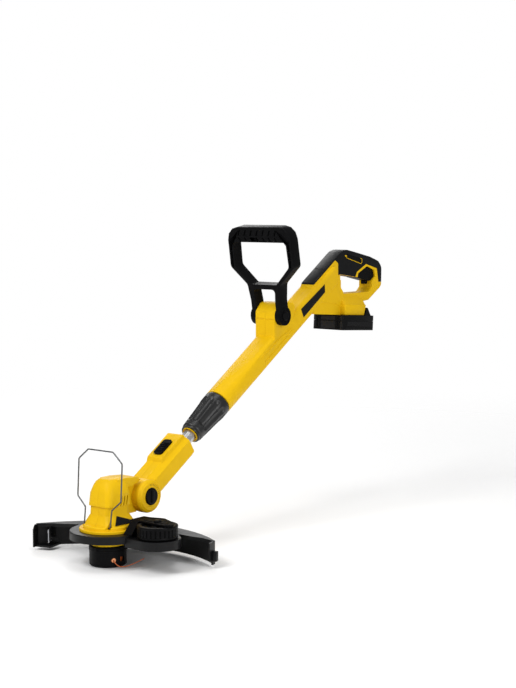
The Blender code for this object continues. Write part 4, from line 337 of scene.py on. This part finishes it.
# Finish, edge rounding and nodes
DRESSED = (
    (YELLOW, 0.0009, ("motor_housing_left", "motor_housing_right", "neck_left", "neck_right",
                      "handle_housing_left", "handle_housing_right")),
    (YELLOW, 0.0004, ("base_ring",)),
    (BLACK, 0.0005, ("pivot_button", "pivot_cap", "neck_button", "trigger", "lock_off_button",
                     "spool_housing", "spool_cap", "battery_latch", "handle_button")),
    (GUARD_BLACK, 0.0008, ("guard",)),
    (COVER_BLACK, 0.0008, ("wheel_bracket",)),
    (HANDLE_BLACK, 0.0008, ("aux_handle",)),
    (BATTERY_BLACK, 0.0007, ("battery_case", "battery_cover")),
    (RUBBER, 0.0008, ("grip_overmould",)),
    (LABEL, 0.0002, ("head_label_plate",)),
    (BLACK, 0.0004, ("wheel_axle",)),
)
for finish, width, names in DRESSED:
    for name in names:
        dressed(name, finish, width)

# Nodes whose own form is right
PLAIN = (
    (STEEL, ("motor_can", "motor_shaft", "shaft_bearing", "pivot_pin", "trigger_pin",
             "line_cutter_blade", "blade_screw", "guard_screw_near", "guard_screw_far",
             "handle_screw_1", "handle_screw_2", "handle_screw_3", "handle_screw_4",
             "handle_bolt", "spool_spring", "pivot_spring", "neck_button_spring",
             "trigger_spring")),
    (GREY, ("swivel_bush", "tube_end_guide", "cooling_fan", "switch", "terminal_block",
            "cell_pack", "spool")),
    (YELLOW, ("clamp_bush",)),
    (COPPER, ("eyelet_near", "eyelet_far")),
    (LINE, ("line_winding",)),
    (CABLE, ("motor_lead",)),
    (TUBE, ("inner_tube",)),
)
for finish, names in PLAIN:
    for name in names:
        NODES[name].data.materials.clear()
        NODES[name].data.materials.append(finish)


def stands_for(item, node):
    smooth(item, LATHED_ANGLE)
    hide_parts(node)
    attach(item, BODY_OF[node])


def grid(title, rings, finish, place):
    """A closed skin through rings of points that all have the same count."""
    shape = bmesh.new()
    rows = [[shape.verts.new(place @ Vector(p)) for p in ring] for ring in rings]
    count = len(rows[0])
    for low, high in zip(rows, rows[1:] + rows[:1]):
        for k in range(count):
            ahead = (k + 1) % count
            shape.faces.new((low[k], low[ahead], high[ahead], high[k]))
    bmesh.ops.remove_doubles(shape, verts=shape.verts, dist=0.000005)
    bmesh.ops.recalc_face_normals(shape, faces=shape.faces)
    mesh = bpy.data.meshes.new(title)
    shape.to_mesh(mesh)
    shape.free()
    return link(mesh, title, finish)


# Collar with its flutes

COLLAR_START = 0.181
COLLAR_END = 0.2825
COLLAR_R = 0.02825
COLLAR_NOSE_R = 0.0205
COLLAR_BORE = 0.0188
COLLAR_NOSE_BORE = 0.0171
COLLAR_NOSE_DEEP = 0.024
COLLAR_SIDES = 160
RING_PITCH = 0.0012
BORE_RUN = 0.09
FLUTES = 10
FLUTE_R = 0.0100
FLUTE_HALF = 0.037
FLUTE_MIDDLE = COLLAR_START + 0.053
FLUTE_OUT = 0.0325
FLUTE_TILT = (COLLAR_R - COLLAR_NOSE_R - 0.002) / (COLLAR_END - COLLAR_START - 0.030)


def collar_radius(s, angle, base):
    """The base radius at s, or less where a flute crosses it."""
    along = s - FLUTE_MIDDLE
    if abs(along) >= FLUTE_HALF:
        return base
    end = FLUTE_HALF - FLUTE_R
    over = max(0.0, abs(along) - end)
    reach = math.sqrt(max(0.0, FLUTE_R ** 2 - over ** 2))
    middle = FLUTE_OUT + FLUTE_TILT * along
    pitch = 2.0 * math.pi / FLUTES
    off = (angle / pitch) % 1.0 - 0.5
    side = middle * math.sin(off * pitch)
    if abs(side) >= reach:
        return base
    return min(base, middle * math.cos(off * pitch) - math.sqrt(reach ** 2 - side ** 2))


def collar():
    profile = [
        (COLLAR_END, COLLAR_BORE), (COLLAR_END, COLLAR_R - 0.0032),
        (COLLAR_END - 0.0004, COLLAR_R - 0.0018), (COLLAR_END - 0.0012, COLLAR_R - 0.0006),
        (COLLAR_END - 0.0026, COLLAR_R), (COLLAR_END - 0.020, COLLAR_R),
        (COLLAR_END - 0.027, COLLAR_R - 0.0006), (COLLAR_END - 0.032, COLLAR_R - 0.0015),
        (COLLAR_START + 0.010, COLLAR_NOSE_R + 0.0020),
        (COLLAR_START + 0.0075, COLLAR_NOSE_R + 0.0019),
        (COLLAR_START + 0.0062, COLLAR_NOSE_R + 0.0008), (COLLAR_START + 0.0055, COLLAR_NOSE_R),
        (COLLAR_START + 0.0014, COLLAR_NOSE_R), (COLLAR_START + 0.0004, COLLAR_NOSE_R - 0.0004),
        (COLLAR_START, COLLAR_NOSE_R - 0.0013), (COLLAR_START, COLLAR_NOSE_BORE),
        (COLLAR_START + COLLAR_NOSE_DEEP, COLLAR_NOSE_BORE),
        (COLLAR_START + COLLAR_NOSE_DEEP, COLLAR_BORE),
    ]
    rows = []
    for (s0, r0), (s1, r1) in zip(profile, profile[1:] + profile[:1]):
        outside = abs(s1 - s0) < BORE_RUN and r0 > COLLAR_BORE
        steps = max(1, round(abs(s1 - s0) / RING_PITCH)) if outside else 1
        rows += [(s0 + (s1 - s0) * k / steps, r0 + (r1 - r0) * k / steps) for k in range(steps)]
    rings = []
    for s, r in rows:
        ring = []
        for k in range(COLLAR_SIDES):
            angle = 2.0 * math.pi * k / COLLAR_SIDES
            reach = collar_radius(s, angle, r) if r > COLLAR_BORE + 0.0003 else r
            ring.append((s, reach * math.sin(-angle), reach * math.cos(angle)))
        rings.append(ring)
    stands_for(grid("collar_form", rings, GLOSS_BLACK, SHAFT), "collar")


collar()


# Flower guard wire

ARC_STEP = 15.0
LEAST_TURN = 0.02
LEG_SHARE = 0.45


def filleted(points, radius):
    """The path with each corner turned into an arc."""
    made = [Vector(points[0])]
    for before, corner, after in zip(points, points[1:], points[2:]):
        corner = Vector(corner)
        back = (Vector(before) - corner).normalized()
        ahead = (Vector(after) - corner).normalized()
        turn = math.pi - back.angle(ahead)
        if turn < LEAST_TURN:
            made.append(corner)
            continue
        reach = min(radius * math.tan(turn / 2.0), LEG_SHARE * (Vector(before) - corner).length,
                    LEG_SHARE * (Vector(after) - corner).length)
        real = reach / math.tan(turn / 2.0)
        middle = corner + (back + ahead).normalized() * (real / math.cos(turn / 2.0))
        start = corner + back * reach - middle
        axis = start.cross(corner + ahead * reach - middle).normalized()
        count = max(3, round(math.degrees(turn) / ARC_STEP))
        made += [middle + Matrix.Rotation(turn * k / count, 3, axis) @ start
                 for k in range(count + 1)]
    made.append(Vector(points[-1]))
    return made


def curve_piece(title, points, radius, finish, sides=8):
    data = bpy.data.curves.new(title, "CURVE")
    data.dimensions = "3D"
    spline = data.splines.new("POLY")
    spline.points.add(len(points) - 1)
    for spot, point in zip(spline.points, points):
        spot.co = (*point, 1.0)
    data.bevel_depth = radius
    data.bevel_resolution = sides // 2
    data.use_fill_caps = True
    item = bpy.data.objects.new(title, data)
    bpy.context.scene.collection.objects.link(item)
    data.materials.append(finish)
    return item


WIRE_AT = Vector((-0.028, 0.0, 0.0757))
WIRE_R = 0.0014
WIRE_BEND_R = 0.006
WIRE_HALF = 0.033
WIRE_WIDE = 0.055
WIRE_H = 0.1408
half_wire = [
    (0.0, WIRE_HALF - 0.0075, 0.0), (0.0, WIRE_HALF, 0.0), (0.004, WIRE_HALF + 0.0005, 0.0329),
    (0.006, WIRE_WIDE, 0.0513), (0.010, WIRE_WIDE, 0.1213), (0.011, 0.0315, WIRE_H),
]
whole_wire = [WIRE_AT + Vector(p) for p in half_wire]
whole_wire += [WIRE_AT + Vector((x, -y, z)) for x, y, z in reversed(half_wire)]
wire = curve_piece("flower_guard_form", filleted(whole_wire, WIRE_BEND_R), WIRE_R, WIRE)
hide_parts("flower_guard")
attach(wire, "flower_guard")


# Free end of the line

SPOOL_R = 0.035
LINE_R = 0.0008
# Angle in degrees, radius and height
LINE_ROUTE = (
    (-119.0, SPOOL_R + 0.0011, 0.0145), (-119.0, 0.0385, 0.0138), (-117.0, 0.0405, 0.0100),
    (-110.0, 0.0418, 0.0050), (-101.0, 0.0428, 0.0024), (-91.0, 0.0445, 0.0019),
    (-79.0, 0.0490, 0.0034), (-66.0, 0.0570, 0.0068), (-55.0, 0.0680, 0.0112),
)


def woven(stops, steps):
    """A smooth curve through the stops."""
    ends = [stops[0] * 2.0 - stops[1]] + stops + [stops[-1] * 2.0 - stops[-2]]
    made = []
    for a, b, c, d in zip(ends, ends[1:], ends[2:], ends[3:]):
        for k in range(steps):
            t = k / steps
            made.append(0.5 * (b * 2.0 + (c - a) * t + (a * 2.0 - b * 5.0 + c * 4.0 - d) * t ** 2
                               + (b * 3.0 - a - c * 3.0 + d) * t ** 3))
    return made + [stops[-1]]


line_stops = [Vector((r * math.cos(math.radians(a)), r * math.sin(math.radians(a)), z))
              for a, r, z in LINE_ROUTE]
line_path = woven(line_stops, 4)
line = curve_piece("line_end_form", line_path, LINE_R, LINE)
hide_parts("line_end")
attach(line, "line_head")


# Edge wheel with its lugs

WHEEL_AT = Vector((0.015, -0.111, 0.0))
WHEEL_LOW = 0.063
WHEEL_TOP = 0.087
WHEEL_R = 0.038
WHEEL_BORE = 0.0045
WHEEL_HUB_LOW = 0.0623
WHEEL_BEAD = WHEEL_R - 0.0022
WHEEL_PADS = 28
PAD_STEPS = 8
PAD_FILLED = 6
PAD_OUT = 0.0018


def edge_wheel():
    profile = [
        (WHEEL_BORE, WHEEL_TOP - 0.0005), (0.0098, WHEEL_TOP - 0.0005),
        (0.0106, WHEEL_TOP - 0.0009), (0.0130, WHEEL_TOP - 0.0035),
        (0.0268, WHEEL_TOP - 0.0035), (0.0296, WHEEL_TOP - 0.0004), (0.0304, WHEEL_TOP),
        (WHEEL_R - 0.0018, WHEEL_TOP), (WHEEL_R - 0.0006, WHEEL_TOP - 0.0006),
        (WHEEL_R, WHEEL_TOP - 0.0020), (WHEEL_R, WHEEL_TOP - 0.0042),
        (WHEEL_R - 0.0004, WHEEL_TOP - 0.0050), (WHEEL_BEAD, WHEEL_TOP - 0.0056),
        (WHEEL_BEAD, WHEEL_TOP - 0.0060), (WHEEL_BEAD, WHEEL_LOW + 0.0060),
        (WHEEL_BEAD, WHEEL_LOW + 0.0056), (WHEEL_R - 0.0004, WHEEL_LOW + 0.0050),
        (WHEEL_R, WHEEL_LOW + 0.0042), (WHEEL_R, WHEEL_LOW + 0.0020),
        (WHEEL_R - 0.0006, WHEEL_LOW + 0.0006), (WHEEL_R - 0.0018, WHEEL_LOW),
        (0.0300, WHEEL_LOW), (0.0270, WHEEL_LOW + 0.0040), (0.0110, WHEEL_LOW + 0.0040),
        (0.0090, WHEEL_HUB_LOW), (WHEEL_BORE, WHEEL_HUB_LOW),
    ]
    around = WHEEL_PADS * PAD_STEPS
    rings = []
    for r, z in profile:
        ring = []
        for k in range(around):
            out = PAD_OUT if r == WHEEL_BEAD and k % PAD_STEPS < PAD_FILLED else 0.0
            angle = 2.0 * math.pi * k / around
            ring.append(((r + out) * math.cos(angle), (r + out) * math.sin(angle), z))
        rings.append(ring)
    item = grid("edge_wheel_form", rings, BLACK, Matrix.Translation(WHEEL_AT))
    stands_for(item, "edge_wheel")


edge_wheel()


# Raised details, seams and bare label plates

LATHE_SIDES = 64
SEAM_SIDES = 4


def added(item, node):
    """A small piece that goes with a node, in the node's body."""
    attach(item, BODY_OF[node])


def panel(title, outline, low, high, finish, node, place, round_off=0.0):
    """An outline raised from low to high, in the axes that place gives."""
    shape = bmesh.new()
    foot = [shape.verts.new(place @ Vector((u, v, low))) for u, v in outline]
    head = [shape.verts.new(place @ Vector((u, v, high))) for u, v in outline]
    shape.faces.new(foot)
    shape.faces.new(head)
    for k, corner in enumerate(foot):
        ahead = (k + 1) % len(foot)
        shape.faces.new((corner, foot[ahead], head[ahead], head[k]))
    bmesh.ops.recalc_face_normals(shape, faces=shape.faces)
    mesh = bpy.data.meshes.new(title)
    shape.to_mesh(mesh)
    shape.free()
    item = link(mesh, title, finish)
    if round_off:
        bevel = item.modifiers.new("round_off", "BEVEL")
        bevel.width = round_off
        bevel.segments = 2
        bevel.harden_normals = True
    smooth(item, PANEL_ANGLE)
    added(item, node)


def seam(title, points, radius, finish, node, place=UPRIGHT, turn=0.0):
    """A thin rib or a filled groove along a path."""
    stops = [place @ Vector(p) for p in points]
    if turn:
        stops = filleted(stops, turn)
    added(curve_piece(title, stops, radius, finish, SEAM_SIDES), node)


def lathe(title, profile, finish, node, place):
    """A ring from radius and height pairs round the third axis of place."""
    rings = []
    for r, w in profile:
        angles = [2.0 * math.pi * k / LATHE_SIDES for k in range(LATHE_SIDES)]
        rings.append([(r * math.cos(angle), r * math.sin(angle), w) for angle in angles])
    item = grid(title, rings, finish, place)
    smooth(item, LATHED_ANGLE)
    added(item, node)


def rectangle(left, right, low, high):
    return [(left, low), (right, low), (right, high), (left, high)]


def spoke(angle, inner, outer, half):
    """The corners of a bar that points away from the middle."""
    along = Vector((math.cos(angle), math.sin(angle)))
    across = Vector((-along.y, along.x)) * half
    corners = (along * inner + across, along * inner - across,
               along * outer - across, along * outer + across)
    return [tuple(corner) for corner in corners]


def both_faces(place):
    """The axes of a near face, and of the far face that mirrors it."""
    return [(title, place @ Matrix.Scale(-side, 4, (0.0, 0.0, 1.0))) for title, side in SIDES]


# Upper housing
SIDE_Y = 0.025
SIDE_RIB_R = 0.0011
BOSS_Y = 0.0252
BOSS_Z = 0.4312
panel("shaft_label", [(0.6862, 0.0105), (0.5874, 0.0149), (0.5852, -0.0055), (0.6785, -0.0050)],
      SIDE_Y - 0.0003, SIDE_Y + 0.0005, LABEL, "handle_housing_left", SHAFT_NEAR, 0.0002)
for title, path in (("side_rib_upper", ((0.4235, 0.0086), (0.4979, 0.0061), (0.5396, -0.0001))),
                    ("side_rib_lower", ((0.4281, -0.0050), (0.4634, -0.0057), (0.5409, -0.0054)))):
    for name, side in SIDES:
        seam(title + "_" + name, [(s, side * (SIDE_Y - 0.0001), h) for s, h in path],
             SIDE_RIB_R, YELLOW, "handle_housing_left", SHAFT)
seam("boss_lip", [(0.4900, BOSS_Y, BOSS_Z), (0.4798, BOSS_Y, BOSS_Z),
                  (0.4798, -BOSS_Y, BOSS_Z), (0.4900, -BOSS_Y, BOSS_Z)],
     0.0008, YELLOW, "handle_housing_left", turn=0.0012)

# Grip overmould: the border of its top panel and its cross seam
GRIP_EDGE_Y = 0.0157
border = [(0.6375, 0.5035), (0.7335, 0.5634), (0.7520, 0.5672), (0.7830, 0.5614),
          (0.8450, 0.5490), (0.8790, 0.5385)]
for name, side in SIDES:
    seam("grip_border_" + name, [(x, side * GRIP_EDGE_Y, z) for x, z in border],
         0.0009, RUBBER, "grip_overmould", turn=0.012)
seam("grip_cross_seam", [(0.6785, -0.0172, 0.5255), (0.6760, -0.0150, 0.5287),
                         (0.6760, 0.0150, 0.5287), (0.6785, 0.0172, 0.5255)],
     0.0006, LABEL, "grip_overmould", turn=0.003)

# Yellow rim and wedge round the lock-off button
LOCK_AT = Matrix.Translation((0.7800, -0.0176, 0.5485)) @ Matrix.Rotation(math.radians(12.5), 4, "Y")
seam("lock_rim", [(-0.0300, 0.0, -0.0040), (0.0295, 0.0, -0.0062), (0.0322, 0.0, -0.0035),
                  (0.0322, 0.0, 0.0048), (0.0250, 0.0, 0.0052)],
     0.0008, YELLOW, "handle_housing_left", LOCK_AT, turn=0.002)
panel("lock_wedge", [(0.7450, 0.5545), (0.7455, 0.5570), (0.7535, 0.5560), (0.7535, 0.5520)],
      0.0172, 0.0180, YELLOW, "handle_housing_left", NEAR, 0.0002)

# Neck drum: stepped rings and plain angle marks
DRUM_Y = 0.033
DRUM_LIP = [(0.0174, DRUM_Y - 0.0004), (0.0174, DRUM_Y + 0.0007),
            (0.0186, DRUM_Y + 0.0007), (0.0192, DRUM_Y - 0.0004)]
DRUM_RIM = [(0.0248, DRUM_Y - 0.0006), (0.0250, DRUM_Y + 0.0006),
            (0.0262, DRUM_Y + 0.0005), (0.0280, DRUM_Y - 0.0012)]
MARKS = 9
FIRST_MARK = 8.0
MARK_PITCH = 11.0
for name, face in both_faces(SHAFT_NEAR):
    lathe("drum_lip_" + name, DRUM_LIP, YELLOW, "neck_left", face)
    lathe("drum_rim_" + name, DRUM_RIM, YELLOW, "neck_left", face)
for step in range(MARKS):
    angle = math.radians(FIRST_MARK + MARK_PITCH * step - math.degrees(PITCH))
    panel("angle_mark_" + str(step + 1), spoke(angle, 0.0203, 0.0238, 0.00035),
          DRUM_Y - 0.0004, DRUM_Y + 0.0003, LABEL, "neck_left", SHAFT_NEAR)

# Battery: ribs and panels on its end, a lower skirt and a bare label place
BATTERY = Matrix.Translation((0.7668, 0.0, 0.4065)) @ Matrix.Rotation(math.radians(3.7), 4, "Y")
BATTERY_NEAR = BATTERY @ NEAR
BATTERY_END = BATTERY @ Matrix(((0.0, 0.0, -1.0, 0.0), (1.0, 0.0, 0.0, 0.0),
                                (0.0, 1.0, 0.0, 0.0), (0.0, 0.0, 0.0, 1.0)))
END_RIBS_Y = (0.0215, 0.0262)
END_RIB_R = 0.0012
END_RIB_X = -0.0608
END_FACE = 0.0606
END_PANEL_HALF = 0.0190
END_STRIP = (0.0330, 0.0370)
for name, side in SIDES:
    for step, place_y in enumerate(END_RIBS_Y):
        seam("battery_end_rib_" + name + "_" + str(step + 1),
             [(END_RIB_X, side * place_y, -0.0130), (END_RIB_X, side * place_y, 0.0140)],
             END_RIB_R, BATTERY_BLACK, "battery_case", BATTERY)
for title, node, low, high in (("lower", "battery_case", -0.0135, 0.0030),
                               ("upper", "battery_cover", 0.0050, 0.0140)):
    panel("battery_end_panel_" + title, rectangle(-END_PANEL_HALF, END_PANEL_HALF, low, high),
          END_FACE, END_FACE + 0.0010, BATTERY_PANEL, node, BATTERY_END, 0.0004)
    for name, side in SIDES:
        panel("battery_end_strip_" + title + "_" + name,
              rectangle(side * END_STRIP[0], side * END_STRIP[1], low, high),
              END_FACE, END_FACE + 0.0008, BATTERY_PANEL, node, BATTERY_END, 0.0004)
for name, face in both_faces(BATTERY_NEAR):
    panel("battery_skirt_" + name, rectangle(-0.0500, 0.0540, -0.0150, -0.0095),
          0.0396, 0.0408, BATTERY_BLACK, "battery_case", face, 0.0005)
panel("battery_label", rectangle(-0.0440, 0.0520, -0.0070, 0.0026),
      0.0398, 0.0404, LABEL, "battery_case", BATTERY_NEAR, 0.0001)

# Front handle: rings and stops round its pivot
HANDLE = Matrix.Translation((0.4993, 0.0, 0.4373)) @ Matrix.Rotation(math.radians(-10.0), 4, "Y")
HANDLE_NEAR = HANDLE @ NEAR
HANDLE_OUTER = 0.038
HANDLE_RING = [(0.0162, HANDLE_OUTER - 0.0004), (0.0165, HANDLE_OUTER + 0.0006),
               (0.0176, HANDLE_OUTER + 0.0006), (0.0180, HANDLE_OUTER - 0.0004)]
STOPS = 8
for name, face in both_faces(HANDLE_NEAR):
    lathe("handle_ring_" + name, HANDLE_RING, HANDLE_BLACK, "aux_handle", face)
for step in range(STOPS):
    panel("handle_stop_" + str(step + 1),
          spoke(math.radians(360.0 / STOPS * step), 0.0112, 0.0146, 0.0016),
          HANDLE_OUTER - 0.0004, HANDLE_OUTER + 0.0007, HANDLE_BLACK, "aux_handle",
          HANDLE_NEAR, 0.0002)

# Edge wheel cover: a raised panel
COVER_TOP = 0.0912
panel("cover_panel", [(0.0120, -0.0800), (0.0320, -0.0830), (0.0410, -0.0990),
                      (0.0285, -0.1230), (0.0155, -0.1380), (0.0080, -0.1290)],
      COVER_TOP - 0.0003, COVER_TOP + 0.0009, COVER_BLACK, "wheel_bracket", UPRIGHT, 0.0004)

# Line head: ridges and lugs
RIDGES_Z = (0.0300, 0.0345)
RIDGE_IN = SPOOL_R - 0.0003
RIDGE_OUT = SPOOL_R + 0.0006
LUGS = 3
FIRST_LUG = -58.0
LUG_IN = SPOOL_R - 0.001
LUG_OUT = SPOOL_R + 0.0030
for step, z in enumerate(RIDGES_Z):
    lathe("head_ridge_" + str(step + 1), [(RIDGE_IN, z - 0.0008), (RIDGE_OUT, z - 0.0005),
                                          (RIDGE_OUT, z + 0.0005), (RIDGE_IN, z + 0.0008)],
          BLACK, "spool_housing", UPRIGHT)
for step in range(LUGS):
    turn = Matrix.Rotation(math.radians(FIRST_LUG + 360.0 / LUGS * step), 4, "Z")
    panel("head_lug_" + str(step + 1), [(LUG_IN, -0.0060), (LUG_OUT, -0.0045),
                                        (LUG_OUT, 0.0045), (LUG_IN, 0.0060)],
          0.0300, 0.0375, BLACK, "spool_housing", turn, 0.0006)
